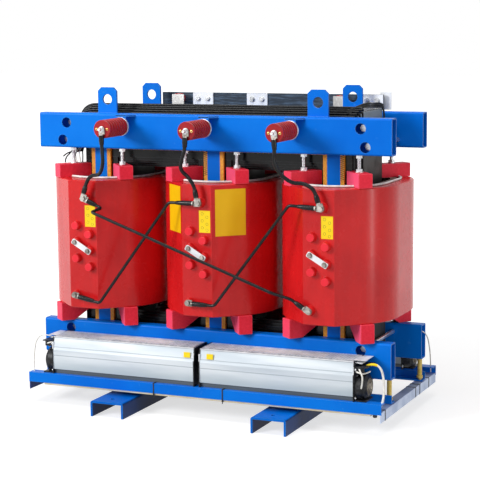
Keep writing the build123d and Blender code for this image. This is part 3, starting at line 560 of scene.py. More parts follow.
def grown(name, tree, places, values, slot_name, finish_name=None, seams=()):
    """Run a tree on loose points or seams and keep the result as a plain mesh piece."""
    source = bpy.data.meshes.new("source")
    source.from_pydata([tuple(place) for place in places], seams, [])
    holder = bpy.data.objects.new(name, source)
    scene.collection.objects.link(holder)
    modifier = holder.modifiers.new(tree.name, "NODES")
    modifier.node_group = tree
    values = {**values, "Material": FINISH[finish_name or slot_name]}
    for item in tree.interface.items_tree:
        if item.in_out == "INPUT" and item.name in values:
            modifier[item.identifier] = values[item.name]
    bpy.context.view_layer.update()
    mesh = bpy.data.meshes.new_from_object(holder.evaluated_get(bpy.context.evaluated_depsgraph_get()))
    holder.modifiers.remove(modifier)
    bpy.data.objects.remove(holder)
    mesh.name = name
    return piece(name, mesh, slot_name, finish_name)


def perforated_tree():
    """A thin plate of square cells, each with an opening, extruded to its thickness."""
    growth = Growth("perforated_plate", "Length", "Width", "Columns", "Rows", "Opening", "Thickness", "Centre")
    grid = growth.step("MeshGrid", Size_X=growth["Length"], Size_Y=growth["Width"], Vertices_X=growth["Columns"],
                       Vertices_Y=growth["Rows"])
    inset = growth.step("ExtrudeMesh", {"mode": "FACES"}, Mesh=grid, Offset_Scale=0.0, Individual=True)
    inner = inset.other("Top")
    narrowed = growth.step("ScaleElements", {"domain": "FACE"}, Geometry=inset, Selection=inner,
                           Scale=growth["Opening"])
    cut = growth.step("DeleteGeometry", {"domain": "FACE"}, Geometry=narrowed, Selection=inner)
    merged = growth.step("MergeByDistance", Geometry=cut, Distance=0.00001)
    thick = growth.step("ExtrudeMesh", {"mode": "FACES"}, Mesh=merged, Offset_Scale=growth["Thickness"],
                        Individual=False)
    return growth.close(growth.step("Transform", Geometry=thick, Translation=growth["Centre"]))


def fastener_tree():
    """A hex head on a round washer at each point, turned to face one way."""
    growth = Growth("fasteners", "Head radius", "Head height", "Washer radius", "Washer height", "Facing")
    layers = []
    for layer, corners, base in (("Head", 6, growth["Washer height"]), ("Washer", 24, 0.0)):
        height = growth[f"{layer} height"]
        disc = growth.step("MeshCylinder", Vertices=corners, Depth=height, Radius=growth[f"{layer} radius"])
        middle = growth.node("ShaderNodeCombineXYZ", inputs={"Z": height * 0.5 + base})
        layers.append(growth.step("Transform", Geometry=disc, Translation=middle))
    joined = growth.step("JoinGeometry", Geometry=layers)
    return growth.close(growth.step("InstanceOnPoints", Points=growth["Geometry"], Instance=joined,
                                    Rotation=growth["Facing"]))


def thread_tree():
    """A helical thread that rises from each point."""
    growth = Growth("threads", "Radius", "Length", "Pitch")
    radius, length, pitch = growth["Radius"], growth["Length"], growth["Pitch"]
    helix = growth.step("CurveSpiral", Resolution=16, Rotations=length.math("DIVIDE", pitch), Start_Radius=radius,
                        End_Radius=radius, Height=length)
    ridge = growth.step("CurvePrimitiveCircle", Resolution=4, Radius=pitch * 0.42)
    thread = growth.step("CurveToMesh", Curve=helix, Profile_Curve=ridge, Fill_Caps=True)
    return growth.close(growth.step("InstanceOnPoints", Points=growth["Geometry"], Instance=thread))


def weld_tree():
    """Overlapping scales of a weld bead along each edge of the source."""
    growth = Growth("weld_beads", "Spacing", "Size", "Seed")
    seam = growth.step("MeshToCurve", Mesh=growth["Geometry"])
    spots = growth.step("CurveToPoints", {"mode": "LENGTH"}, Curve=seam, Length=growth["Spacing"])
    size = growth["Size"] * growth.node("FunctionNodeRandomValue", {"data_type": "FLOAT"},
                                        {2: 0.8, 3: 1.15, "Seed": growth["Seed"]}, 1)
    scallop = growth.step("MeshIcoSphere", Radius=1.0, Subdivisions=1)
    return growth.close(growth.step("InstanceOnPoints", Points=spots, Instance=scallop, Scale=growth.node(
        "ShaderNodeCombineXYZ", inputs={0: size, 1: size, 2: size})))


perforated, fasteners, threads, weld_beads = perforated_tree(), fastener_tree(), thread_tree(), weld_tree()
TO_FRONT = (math.radians(90), 0.0, 0.0)
TO_RIGHT = (0.0, math.radians(90), 0.0)
TO_LEFT = (0.0, math.radians(-90), 0.0)


def fastener_set(name, places, facing, head, washer, finish_name=None):
    """Hex bolts at several places; head and washer are (radius, height)."""
    values = {"Head radius": head[0], "Head height": head[1], "Washer radius": washer[0],
              "Washer height": washer[1], "Facing": facing}
    grown(name, fasteners, places, values, "zinc", finish_name)


# High-voltage leads: the routes, from the post insulators to the coils' top terminals
LEAD_ROUTES = {
    "left": [(-0.3432, LEAD_TOP_Y, 1.044), (-0.342, LEAD_TOP_Y, 1.014), (-0.342, -0.402, 0.96),
             (-0.373, -0.372, 0.914), (-0.415, -0.357, 0.911), (-0.44, LEAD_LOW_Y, 0.891),
             (-0.4496, LEAD_LOW_Y, 0.8609)],
    "middle": [(-0.0013, LEAD_TOP_Y, 1.044), (-0.002, LEAD_TOP_Y, 1.019), (-0.017, -0.403, 0.989),
               (-0.032, -0.39, 0.947), (-0.014, -0.353, 0.915), (0.007, LEAD_LOW_Y, 0.883),
               (0.0105, LEAD_LOW_Y, 0.8624)],
    "right": [(0.3485, LEAD_TOP_Y, 1.0441), (0.35, LEAD_TOP_Y, 1.026), (0.342, -0.407, 0.994),
              (0.358, -0.397, 0.949), (0.4, -0.376, 0.91), (0.432, -0.354, 0.91), (0.464, -0.353, 0.897),
              (0.479, LEAD_LOW_Y, 0.881), (0.4855, LEAD_LOW_Y, 0.8609)],
}
LEAD_LENGTH = {"left": 0.25, "middle": 0.212, "right": 0.272}


def add_sleeve(form, eye, towards, length, radius, cable_radius):
    """A heat-shrink sleeve over a lug's barrel, drawn in to the cable at its far end."""
    direction = (Vector(towards) - Vector(eye)).normalized()
    profile = [(0.0, radius - 0.0012), (0.001, radius), (length * 0.6, radius), (length * 0.72, radius - 0.0008),
               (length * 0.96, cable_radius + 0.0014), (length, cable_radius + 0.0004)]
    add_turned(form, Vector(eye) + direction * SLEEVE_START, direction, profile)


lead_sleeves = bmesh.new()
for phase, route in LEAD_ROUTES.items():
    free_cord(f"lead_{phase}", route, LEAD_LENGTH[phase], LEAD_DIAMETER, "lead_black",
              stands_for=f"hv_lead_{phase}")
    post_eye = (POST_X[phase], LEAD_TOP_Y, POST_Z)
    coil_eye = (PHASE_X[phase] + TERMINAL_TOP[0], LEAD_LOW_Y, TERMINAL_TOP[1])
    add_sleeve(lead_sleeves, post_eye, route[0], 0.036, 0.0098, LEAD_DIAMETER / 2)
    add_sleeve(lead_sleeves, coil_eye, route[-1], 0.03, 0.0098, LEAD_DIAMETER / 2)
added("lead_sleeves", lead_sleeves, "lead_black")

# Delta rods: the two ends as (phase, terminal, length of the sleeve there), and the route between them
RODS = [
    (("left", TERMINAL_BOTTOM, 0.066), ("middle", TERMINAL_TOP, 0.066),
     [(-0.4975, ROD_Y, 0.4378), (-0.4, ROD_Y, 0.421), (-0.1, ROD_Y, 0.819), (0.0, ROD_Y, 0.819)]),
    (("middle", TERMINAL_BOTTOM, 0.062), ("right", TERMINAL_TOP, 0.066),
     [(-0.016, ROD_Y, 0.4436), (0.08, ROD_Y, 0.441), (0.378, ROD_Y, 0.827), (0.48, ROD_Y, 0.8203)]),
    (("left", TERMINAL_TOP, 0.04), ("right", TERMINAL_BOTTOM, 0.038),
     [(-0.44, ROD_Y, 0.8091), (-0.383, ROD_Y, 0.786), (-0.398, -0.4, 0.776), (0.325, -0.4, 0.516),
      (0.385, ROD_Y, 0.486), (0.43, ROD_Y, 0.4554)]),
]


def bent(route):
    """The control points of a stiff rod, with a short bend at each inner point of its route."""
    route = [Vector(point) for point in route]
    line = [route[0]]
    for before, here, after in zip(route, route[1:], route[2:]):
        into, out = (here + arm.normalized() * min(0.024, arm.length * 0.45) for arm in (before - here, after - here))
        line += [into, here, out]
    return line + [route[-1]]


held_lines("bent_rods", {ROD_R: [bent(route) for *_, route in RODS]}, "rod_black", stands_for="delta_rods")
rod_sleeves = bmesh.new()
for *ends, route in RODS:
    for (phase, (terminal_x, terminal_z), length), towards in zip(ends, (route[1], route[-2])):
        add_sleeve(rod_sleeves, (PHASE_X[phase] + terminal_x, ROD_Y, terminal_z), towards, length, 0.0094, ROD_R)
added("rod_sleeves", rod_sleeves, "rod_black")


# Labels on the coils
def coil_line(distance, side):
    """A point of the coil's outline and its outward direction, at a distance round from the panel's edge."""
    reach = math.hypot(PANEL_HALF, PANEL_FRONT - COIL_STRAIGHT)
    turn = math.atan2(PANEL_HALF, PANEL_FRONT - COIL_STRAIGHT) + math.acos(COIL_R / reach)
    flank = math.sqrt(reach ** 2 - COIL_R ** 2)
    angle = turn + max(0.0, distance - flank) / COIL_R
    outward = Vector((math.sin(angle), -math.cos(angle)))
    point = Vector((0, -COIL_STRAIGHT)) + outward * COIL_R
    if distance < flank:
        point = Vector((PANEL_HALF, -PANEL_FRONT)).lerp(point, distance / flank)
    return Vector((side * point.x, point.y)), Vector((side * outward.x, outward.y))


def add_film(form, columns, low, high, base=0.00005, lift=0.0006):
    """A thin film whose columns are (point, outward direction) in plan."""
    section = ((base, low), (lift, low), (lift, high), (base, high))
    add_stack(form, [[(*(point + outward * rise), level) for rise, level in section] for point, outward in columns])


coil_labels, tap_labels, tap_marks = forms(3)
for start, width, side, low, high in ((0.015, 0.119, 1, 0.694, 0.868), (0.013, 0.109, -1, 0.7, 0.876)):
    add_film(coil_labels, [coil_line(start + width * k / 16, side) for k in range(17)], low, high)
for coil_x in PHASE_X.values():
    edges = [(Vector((coil_x + x, -PANEL_FRONT)), Vector((0, -1))) for x in (0.01, 0.055)]
    add_film(tap_labels, edges, 0.708, 0.79)
    for column, levels in ((0.023, (0.778, 0.752, 0.726)), (0.042, (0.766, 0.74, 0.718))):
        for level in levels:
            centre = Matrix.Translation((coil_x + column, -PANEL_FRONT - 0.0006, level))
            bmesh.ops.create_circle(tap_marks, segments=20, radius=0.0052, cap_ends=True,
                                    matrix=centre @ Matrix.Rotation(math.pi / 2, 4, "X"))
bmesh.ops.inset_individual(tap_marks, faces=tap_marks.faces[:], thickness=0.0007)
discs = [face for face in tap_marks.faces if len(face.verts) == 20]
bmesh.ops.delete(tap_marks, geom=discs, context="FACES")
bmesh.ops.solidify(tap_marks, geom=tap_marks.faces[:], thickness=-0.0002)
added("coil_labels", coil_labels, "insulation_orange", "label_yellow", smooth=False)
added("tap_labels", tap_labels, "insulation_orange", "sticker_yellow", smooth=False)
added("tap_marks", tap_marks, "rod_black", "ink_black", smooth=False)

# White edging: soft tubes round each coil's inner cylinder, front and rear arcs first, then the flanks
EDGING_TURN = math.radians(34)
edging = []
for coil_x in PHASE_X.values():
    for side in SIDES:
        edging.append([(coil_x + EDGING_R * math.sin(angle), side * (COIL_STRAIGHT + EDGING_R * math.cos(angle)),
                        COIL_TOP + EDGING_TUBE_R) for angle in (EDGING_TURN * (k / 4 - 1) for k in range(9))])
    for across in SIDES:
        flank = []
        for share in (k / 6 - 1 for k in range(13)):
            angle = max(0.0, abs(share) * 1.5 - 0.5) * EDGING_TURN
            reach = min(abs(share) * 3, 1) * COIL_STRAIGHT + EDGING_R * math.sin(angle)
            flank.append((coil_x + across * EDGING_R * math.cos(angle), math.copysign(reach, share),
                          COIL_TOP + EDGING_TUBE_R))
        edging.append(flank)
held_lines("edging_tubes", {EDGING_TUBE_R: edging}, "edging_white", stands_for="edging_rings")

# Perforated guards on the blower tops, with the beige filter mat in the middle of each, and a grey sheet under each
# guard as painted shade for the hollow seen through its holes
GUARD_PITCH, GUARD_WIDTH, GUARD_Y = 0.0115, 0.096, 0.2675
guard_mats, shade_sheets_under_guards = forms(2)
for (span_name, (left_x, right_x)), (side_name, side) in product(FAN_SPANS.items(), (("front", -1), ("rear", 1))):
    middle_x, length = (left_x + right_x) / 2, right_x - left_x - 0.008
    grown(f"guard_{side_name}_{span_name}", perforated, [(0, 0, 0)],
          {"Length": length, "Width": GUARD_WIDTH, "Columns": round(length / GUARD_PITCH) + 1,
           "Rows": round(GUARD_WIDTH / GUARD_PITCH) + 1, "Opening": 0.66, "Thickness": 0.0006,
           "Centre": (middle_x, side * GUARD_Y, FAN_TOP_Z + 0.004)}, "fan_sheet", "flange_white")
    # painted shade: a grey sheet just under the guard stands for the shaded hollow seen through its holes
    add_block(shade_sheets_under_guards, (middle_x, side * GUARD_Y, FAN_TOP_Z + 0.0016), (length - 0.002, 0.092, 0.0012))
    add_block(guard_mats, (middle_x + 0.03, side * 0.2635, FAN_TOP_Z + 0.003), (0.3, 0.054, 0.0016))
added("shade_sheets_under_guards", shade_sheets_under_guards, "black_sheet", "hollow_grey", smooth=False)
added("guard_mats", guard_mats, "duct_beige", "guard_beige", smooth=False)

# Core and insulating strips in their finished forms
yoke, legs, strips = forms(3)
for half_width, half_depth, low_rise in CORE_PACKETS:
    reach, yoke_top = PITCH + half_width, CORE_TOP_Z + half_width * YOKE_RISE
    leg_bottom, leg_top = CORE_BOTTOM_Z + low_rise, CORE_TOP_Z - half_width * YOKE_DROP
    for coil_x in PHASE_X.values():
        add_block(legs, (coil_x, 0, (leg_bottom + leg_top) / 2),
                  (2 * half_width, 2 * half_depth, leg_top - leg_bottom))
    corners = [(-reach, leg_top, 0), (reach, leg_top, 0), (reach, yoke_top, 0.008), (-reach, yoke_top, 0.07)]
    add_along_y(yoke, rounded(corners), -half_depth, half_depth)
for coil_x, side, across in product(PHASE_X.values(), SIDES, SIDES):
    add_block(strips, (coil_x + across * TIE_X, side * (TIE_FACE_Y - 0.006), (TIE_BOTTOM + TIE_TOP) / 2),
              (0.015, 0.012, TIE_TOP - TIE_BOTTOM))
for pad_x, side, pad_z in product((-PITCH / 2, PITCH / 2), SIDES, (1.0615, 0.2445)):
    add_block(strips, (pad_x, side * (TIE_FACE_Y - 0.006), pad_z), (0.397, 0.012, 0.135))
rebuilt("yoke_top", yoke, "core_top_yoke")
rebuilt("stepped_legs", legs, "core_legs", smooth=False)
rebuilt("insulating_strips", strips, "core_insulation", smooth=False)

# Spacer blocks: the outer corner in plan, and the length at each level; a bottom block's inner end slants outwards
# on its way down
BLOCK_ALONG = Vector((0.624, 0.7815))
BLOCK_ACROSS = Vector((0.7815, -0.624)) * 0.053
BLOCKS = {"top": (Vector((0.13, 0.257)), [(COIL_TOP, 0.132), (BLOCK_TOP_Z, 0.132)]),
          "bottom": (Vector((0.1385, 0.256)), [(0.39, 0.13), (0.366, 0.13), (0.319, 0.056)])}
for level_name, (outer, levels) in BLOCKS.items():
    blocks = bmesh.new()
    for coil_x, across, side in product(PHASE_X.values(), SIDES, SIDES):
        rings = []
        for level, length in levels:
            inner = outer - BLOCK_ALONG * length
            plan = (outer, inner, inner + BLOCK_ACROSS, outer + BLOCK_ACROSS)
            rings.append([(coil_x + across * x, side * y, level) for x, y in plan])
        add_stack(blocks, rings)
    soften(blocks, 0.0015)
    rebuilt(f"blocks_{level_name}", blocks, f"{level_name}_blocks")

# Post insulators with rounded sheds, their metal ends and their tapered brackets
FRONT = (0, -1, 0)
SHED_R, WAIST_R, RING_R = 0.0345, 0.0295, 0.0355
RING = 0.008
SHEDS = 7
SHED_FORM = [(0.0006, WAIST_R), (0.0022, SHED_R - 0.001), (0.0042, SHED_R), (0.0078, SHED_R),
             (0.0098, SHED_R - 0.001), (0.0114, WAIST_R)]
shed_pitch = (POST_LENGTH - RING) / (SHEDS + 0.5)
last_shed = POST_LENGTH - shed_pitch / 2
POST_PROFILE = [(RING, WAIST_R),
                *((RING + shed * shed_pitch + along, radius) for shed in range(SHEDS) for along, radius in SHED_FORM),
                (last_shed, WAIST_R), (last_shed + 0.0016, SHED_R), (POST_LENGTH - 0.0012, SHED_R),
                (POST_LENGTH, SHED_R - 0.0014)]
RING_STUD_WASHER_NUT = [
    (POST_BASE_Y, [(0.0, RING_R), (RING - 0.001, RING_R), (RING, RING_R - 0.001)], 48),
    (POST_FACE_Y, [(0.0, 0.006), (0.024, 0.006), (0.026, 0.0048)], 24),
    (POST_FACE_Y - 0.004, [(0.0, 0.011), (0.0016, 0.011)], 24),
    (POST_FACE_Y - 0.0056, [(0.0, 0.01), (0.0066, 0.01), (0.0078, 0.0088)], 6),
]
posts, fittings, brackets = forms(3)
for post_x in POST_X.values():
    add_turned(posts, (post_x, POST_BASE_Y, POST_Z), FRONT, POST_PROFILE, 48)
    for start_y, profile, sides in RING_STUD_WASHER_NUT:
        add_turned(fittings, (post_x, start_y, POST_Z), FRONT, profile, sides)
    plate = [(-0.03, BEAM_FACE_Y + 0.001), (-0.022, POST_BASE_Y), (0.022, POST_BASE_Y), (0.047, BEAM_FACE_Y + 0.001)]
    add_stack(brackets, [[(post_x + x, y, BEAM_TOP_Z - drop) for x, y in plate] for drop in (0.008, 0.002)])
    add_block(brackets, (post_x, POST_BASE_Y + 0.003, 1.094), (0.044, 0.006, 0.074))
soften(brackets, 0.001)
rebuilt("post_insulators", posts, "hv_insulators")
rebuilt("post_fittings", fittings, "insulator_fittings")
rebuilt("post_brackets", brackets, "insulator_brackets")

# Low-voltage risers; the left one turns in under the bar before it rises. Angles behind the bar's standoffs.
FOOT_Y, RISER_Y, BUS_TOP_Z, HALF_BAR = 0.221, 0.255, 1.194, 0.005
risers, supports = forms(2)
for riser_x, top_z in ((-PITCH, 1.14), (0.0, BUS_TOP_Z), (PITCH, BUS_TOP_Z)):
    section = rounded([(FOOT_Y - HALF_BAR, COIL_TOP, 0), (FOOT_Y + HALF_BAR, COIL_TOP, 0),
                       (FOOT_Y + HALF_BAR, 0.907, 0.01), (RISER_Y + HALF_BAR, 0.944, 0.02),
                       (RISER_Y + HALF_BAR, top_z, 0), (RISER_Y - HALF_BAR, top_z, 0),
                       (RISER_Y - HALF_BAR, 0.948, 0.01), (FOOT_Y - HALF_BAR, 0.911, 0.02)], 5)
    add_along_x(risers, section, riser_x - 0.042, riser_x + 0.042)
step = [(-0.439, 1.09), (-0.35, 1.09), (-0.35, BUS_TOP_Z), (-0.392, BUS_TOP_Z), (-0.392, 1.14), (-0.439, 1.14)]
add_along_y(risers, step, RISER_Y - HALF_BAR, RISER_Y + HALF_BAR)
for support_x in (-0.327, 0.366):
    section = rounded([(0.1705, BEAM_TOP_Z, 0), (0.204, BEAM_TOP_Z, 0.004), (0.204, 1.188, 0), (0.2, 1.188, 0),
                       (0.2, BEAM_TOP_Z + 0.004, 0), (0.1705, BEAM_TOP_Z + 0.004, 0)], 4)
    add_along_x(supports, section, support_x - 0.02, support_x + 0.032)
rebuilt("risers", risers, "lv_risers")
rebuilt("standoff_plates", supports, "standoff_angles")

# Tray: end angles that hang below the long ones, a second pair of long angles under the beams, and the wire duct
tray_ends, tray_inner, duct = forms(3)
outer, inner, face = TRAY_X - 0.001, TRAY_X - 0.039, TRAY_X - 0.005
across = ((outer, 0.056), (outer, 0.094), (inner, 0.094), (inner, 0.09), (face, 0.09), (face, 0.056))
along = ((0.209, 0.128), (0.209, 0.096), (0.171, 0.096), (0.171, 0.1), (0.205, 0.1), (0.205, 0.128))
for side in SIDES:
    add_along_y(tray_ends, [(side * x, z) for x, z in across], -0.3405, 0.3405)
    add_along_x(tray_inner, [(side * y, z) for y, z in along], -0.722, 0.722)
soften(tray_ends, 0.0006)
soften(tray_inner, 0.0006)
duct_section = rounded([(-0.337, 0.0775, 0.003), (-0.307, 0.0775, 0.003), (-0.307, 0.106, 0), (-0.337, 0.106, 0)], 4)
add_along_x(duct, duct_section, -0.66, 0.684)
added("tray_cross_angles", tray_ends, "galvanised", "end_angles", stands_for="tray_ends")
added("tray_inner_angles", tray_inner, "beam_blue")
rebuilt("wire_duct", duct, "cable_duct")

# Blower motors: a can with a ringed face, on a bracketed end plate
MOTOR_PROFILE = [(0.0, 0.05), (0.002, 0.052), (0.024, 0.052), (0.027, 0.0495), (0.034, 0.048), (0.038, 0.04),
                 (0.041, 0.037), (0.0425, 0.0355), (0.0425, 0.033), (0.039, 0.032)]
FACE_PROFILE = [(0.0, 0.0318), (0.0022, 0.0318), (0.003, 0.029), (0.0012, 0.027), (0.0012, 0.015),
                (0.004, 0.013), (0.0048, 0.006)]
SPOKES = 10
BRACKET_SHEETS = [(0.024, 0.0, 0.25, (0.048, 0.09, 0.004)), (0.0015, 0.0, 0.185, (0.003, 0.102, 0.126)),
                  (0.022, 0.01, 0.1265, (0.044, 0.078, 0.005)), (0.018, 0.044, 0.24, (0.036, 0.003, 0.02))]
motors, motor_faces, end_brackets = forms(3)
for (sign, x), side in product(FAN_ENDS_X.items(), SIDES):
    motor_y = side * MOTOR_Y
    add_turned(motors, (x, motor_y, MOTOR_Z), (sign, 0, 0), MOTOR_PROFILE, 48)
    add_turned(motor_faces, (x + sign * 0.0388, motor_y, MOTOR_Z), (sign, 0, 0), FACE_PROFILE, 40)
    for spoke in range(SPOKES):
        turn = Matrix.Rotation(2 * math.pi * spoke / SPOKES, 4, "X")
        middle = Vector((x + sign * 0.0412, motor_y, MOTOR_Z)) + turn @ Vector((0, 0.0215, 0))
        add_block(motor_faces, middle, (0.0024, 0.015, 0.003), turn)
    for out, away, z, size in BRACKET_SHEETS:
        add_block(end_brackets, (x + sign * out, motor_y + side * away, z), size)
rebuilt("motor_cans", motors, "fan_motors")
added("motor_faces", motor_faces, "galvanised", "motor_grey")
added("end_brackets", end_brackets, "black_sheet", smooth=False)

# Sheet flanges over the blowers' ends, rims of the housings, and the yellow stickers, left bare
flanges, stickers = forms(2)
for side in SIDES:
    for middle_x, length, away in ((-0.634, 0.036, -1), (0.6335, 0.045, 1)):
        add_block(flanges, (middle_x, side * 0.262, 0.2715), (length, 0.088, 0.0012))
        add_block(flanges, (middle_x - away * 0.006, side * 0.28, 0.2635), (length - 0.012, 0.07, 0.0012),
                  Matrix.Rotation(away * 0.12, 4, "Y"))
    for x in (-0.6215, -0.0165, 0.0075, 0.6165):
        add_block(flanges, (x, side * 0.3262, 0.196), (0.0035, 0.01, 0.108))
    for left_x, right_x in FAN_SPANS.values():
        add_block(flanges, ((left_x + right_x) / 2, side * 0.3215, 0.2688), (right_x - left_x, 0.004, 0.0035))
for middle_x in (-0.0435, 0.051):
    add_block(stickers, (middle_x, FAN_FRONT_Y + 0.0005, 0.2435), (0.026, 0.0012, 0.02),
              Matrix.Rotation(math.radians(-6), 4, "X"))
added("blower_flanges", flanges, "fan_sheet", "flange_white", smooth=False)
added("blower_stickers", stickers, "insulation_orange", "sticker_yellow", smooth=False)

# Straps: cable ties round the long front angle and bands round the right end angle; lacing on two of the strips
straps, lacing = forms(2)
for strap_x in (-0.18, 0.106):
    add_block(straps, (strap_x, -0.3225, 0.1022), (0.0042, 0.0405, 0.0486))
    add_block(straps, (strap_x + 0.002, -0.344, 0.0765), (0.003, 0.0014, 0.01),
              Matrix.Rotation(math.radians(24), 4, "Y"))
for strap_y in (-0.292, 0.076, 0.128, 0.247):
    add_block(straps, (0.7254, strap_y, 0.0755), (0.001, 0.0062, 0.039))
    add_block(straps, (0.7065, strap_y, 0.0945), (0.0388, 0.0062, 0.0012))
add_turned(straps, (0.7, -0.3335, 0.0835), (0, 0, -1), [(0.0, 0.0085), (0.007, 0.0085), (0.009, 0.006)], 6)
for lace_x, k in product((-TIE_X, PITCH + TIE_X), range(26)):
    add_block(lacing, (lace_x, -TIE_FACE_Y, 0.905 + k * 0.0036), (0.0165, 0.0016, 0.0012),
              Matrix.Rotation(math.radians(14 if k % 2 else -14), 4, "Y"))
added("straps", straps, "rod_black", "ink_black", smooth=False)
added("strip_lacing", lacing, "rod_black", "ink_black", smooth=False)

# Control wiring. The harness lies tied along the steps of the top yoke and turns down at its left end.
HARNESS = [(-0.095, 1.156), (-0.1035, 1.1562), (-0.0992, 1.1632), (-0.1137, 1.1495), (-0.1255, 1.1415),
           (-0.1362, 1.1327)]
thick = [[(0.574 - 0.004 * k, y, z), (0.4, y, z + 0.0006), (0.2, y - 0.0005, z), (0.0, y, z + 0.0008),
          (-0.2, y + 0.0004, z), (-0.4, y, z), (-0.505, y, z), (-0.566, y, z - 0.002),
          (-0.598 - 0.002 * k, y - 0.002, z - 0.04), (-0.604, y - 0.006, z - 0.11), (-0.596, y - 0.01, 0.975)]
         for k, (y, z) in enumerate(HARNESS)]
thin = [[(0.52, -0.135 + lift, 1.142 + lift), (0.546, -0.11 + lift, 1.154 + lift),
         (0.556, -0.07 + lift, 1.162 + lift), (0.572, -0.02, 1.166 + lift), (0.56, 0.03, 1.16 + lift),
         (0.576, 0.08, 1.16 + lift), (0.584, 0.108, 1.15 + lift), (0.583, 0.114, 1.1)]
        for lift in (0.0, 0.006, 0.012)]
held_lines("yoke_harness", {0.0042: thick, 0.0032: thin}, "lead_black")

BLACK_SENSORS = [
    [(-0.6, -0.15, 0.999), (-0.612, -0.17, 0.975), (-0.628, -0.185, 0.955), (-0.622, -0.195, 0.94)],
    [(-0.585, -0.15, 0.999), (-0.59, -0.175, 0.982), (-0.618, -0.19, 0.976), (-0.632, -0.192, 0.962)],
    [(-0.56, -0.152, 0.999), (-0.556, -0.176, 0.985), (-0.548, -0.186, 0.966), (-0.548, -0.19, 0.941)],
]
WHITE_SENSORS = [
    [(-0.57, -0.152, 0.999), (-0.573, -0.176, 0.98), (-0.56, -0.19, 0.962), (-0.556, -0.192, 0.941)],
    [(-0.578, -0.152, 0.999), (-0.588, -0.178, 0.974), (-0.577, -0.19, 0.958), (-0.57, -0.194, 0.941)],
]
MOTOR_WIRES = [
    [(0.634, -0.318, 0.245), (0.65, -0.329, 0.225), (0.652, -0.33, 0.2), (0.646, -0.327, 0.174)],
    [(0.624, -0.32, 0.233), (0.64, -0.327, 0.229), (0.655, -0.308, 0.225), (0.664, -0.282, 0.229)],
    [(-0.63, -0.32, 0.246), (-0.648, -0.325, 0.242), (-0.662, -0.306, 0.234), (-0.664, -0.282, 0.22)],
]
held_lines("sensor_wires_black", {0.0026: BLACK_SENSORS}, "lead_black")
held_lines("sensor_wires_white", {0.0026: WHITE_SENSORS}, "edging_white", "wire_white")
held_lines("motor_wires", {0.003: MOTOR_WIRES}, "edging_white", "wire_white")

FREE_WIRES = {
    "fan_tube": ([(0.65, -0.285, 0.248), (0.676, -0.282, 0.259), (0.704, -0.282, 0.248),
                  (0.716, -0.283, 0.208), (0.7205, -0.295, 0.156), (0.7215, -0.31, 0.124),
                  (0.712, -0.324, 0.1)], 0.213, 0.0084),
    "rear_wire": ([(0.714, 0.19, 0.29), (0.7215, 0.23, 0.272), (0.722, 0.265, 0.215),
                   (0.718, 0.295, 0.15), (0.709, 0.325, 0.099)], 0.24, 0.0046),
    "front_left_wire": ([(-0.642, -0.29, 0.26), (-0.686, -0.291, 0.272), (-0.717, -0.296, 0.244),
                         (-0.7215, -0.302, 0.2), (-0.72, -0.312, 0.16), (-0.711, -0.326, 0.12)],
                        0.21, 0.004),
}
for wire_name, (route, length, diameter) in FREE_WIRES.items():
    free_cord(wire_name, route, length, diameter, "edging_white", "wire_white")
tube_sleeve = [(0.65, -0.285, 0.248), (0.663, -0.2833, 0.2548), (0.68, -0.2825, 0.256), (0.692, -0.2822, 0.253)]
held_lines("fan_tube_sleeve", {0.0049: [tube_sleeve]}, "insulation_orange", "sticker_yellow")

# Fasteners, and weld beads round the lifting lugs' feet
flag_bolts = [(x + side * FLAG_HOLE_SPACING / 2, FLAG_FACE_Y, BUS_Z) for x, side in product(FLAG_X, SIDES)]
fastener_set("flag_bolts", flag_bolts, TO_FRONT, (0.0085, 0.006), (0.0115, 0.0016))
SCREWS = ((0.322, 0.24), (0.322, 0.136), (0.302, 0.2125), (0.232, 0.24), (0.232, 0.136))
for name, x, facing in (("left", -0.627, TO_LEFT), ("right", 0.622, TO_RIGHT)):
    fastener_set(f"plate_screws_{name}", [(x, side * y, z) for side, (y, z) in product(SIDES, SCREWS)], facing,
                 (0.0042, 0.0026), (0.0062, 0.001))
press_bolts = [(x + across * BOLT_X, side * LUG_Y, BLOCK_TOP_Z + 0.012)
               for x, across, side in product(PHASE_X.values(), SIDES, SIDES)]
grown("press_bolt_threads", threads, press_bolts, {"Radius": 0.0066, "Length": 0.038, "Pitch": 0.002}, "zinc")
seam_ends = [(x + end, y + face, BEAM_TOP_Z) for x, y, face, end in
             product((-LUG_X, LUG_X), (-LUG_Y, LUG_Y), (-0.005, 0.005), (-0.04, 0.04))]
grown("lug_welds", weld_beads, seam_ends, {"Spacing": 0.003, "Size": 0.003, "Seed": 7}, "beam_blue", "weld_blue",
      [(k, k + 1) for k in range(0, len(seam_ends), 2)])

# Free tap bosses carry red caps; the middle pair is joined by a bright link
caps, links = forms(2)
link_ends = []
for coil_x in PHASE_X.values():
    for x, z in ((-0.025, 0.712), (-0.025, 0.586), (0.03, 0.68), (0.03, 0.554)):
        add_turned(caps, (coil_x + x, BOSS_FRONT_Y + 0.0042, z), FRONT,
                   [(0.0, 0.0146), (0.005, 0.0146), (0.006, 0.0136)])
    first, second = Vector((coil_x - 0.025, 0.649)), Vector((coil_x + 0.03, 0.617))
    link_ends += [(x, BOSS_FRONT_Y - 0.004, z) for x, z in (first, second)]
    along = (second - first).normalized()
    across = Vector((-along.y, along.x)) * 0.0105
    first, second = first - along * 0.0125, second + along * 0.0125
    corners = [(*corner, 0.005) for corner in (first - across, second - across, second + across, first + across)]
    add_along_y(links, rounded(corners, 5), BOSS_FRONT_Y, BOSS_FRONT_Y - 0.004)
added("tap_caps", caps, "block_red", "cap_red")
added("link_plates", links, "tinned", "flag_white", stands_for="tap_links")
fastener_set("link_bolts", link_ends, TO_FRONT, (0.0082, 0.0055), (0.0098, 0.0012), "lug_metal")

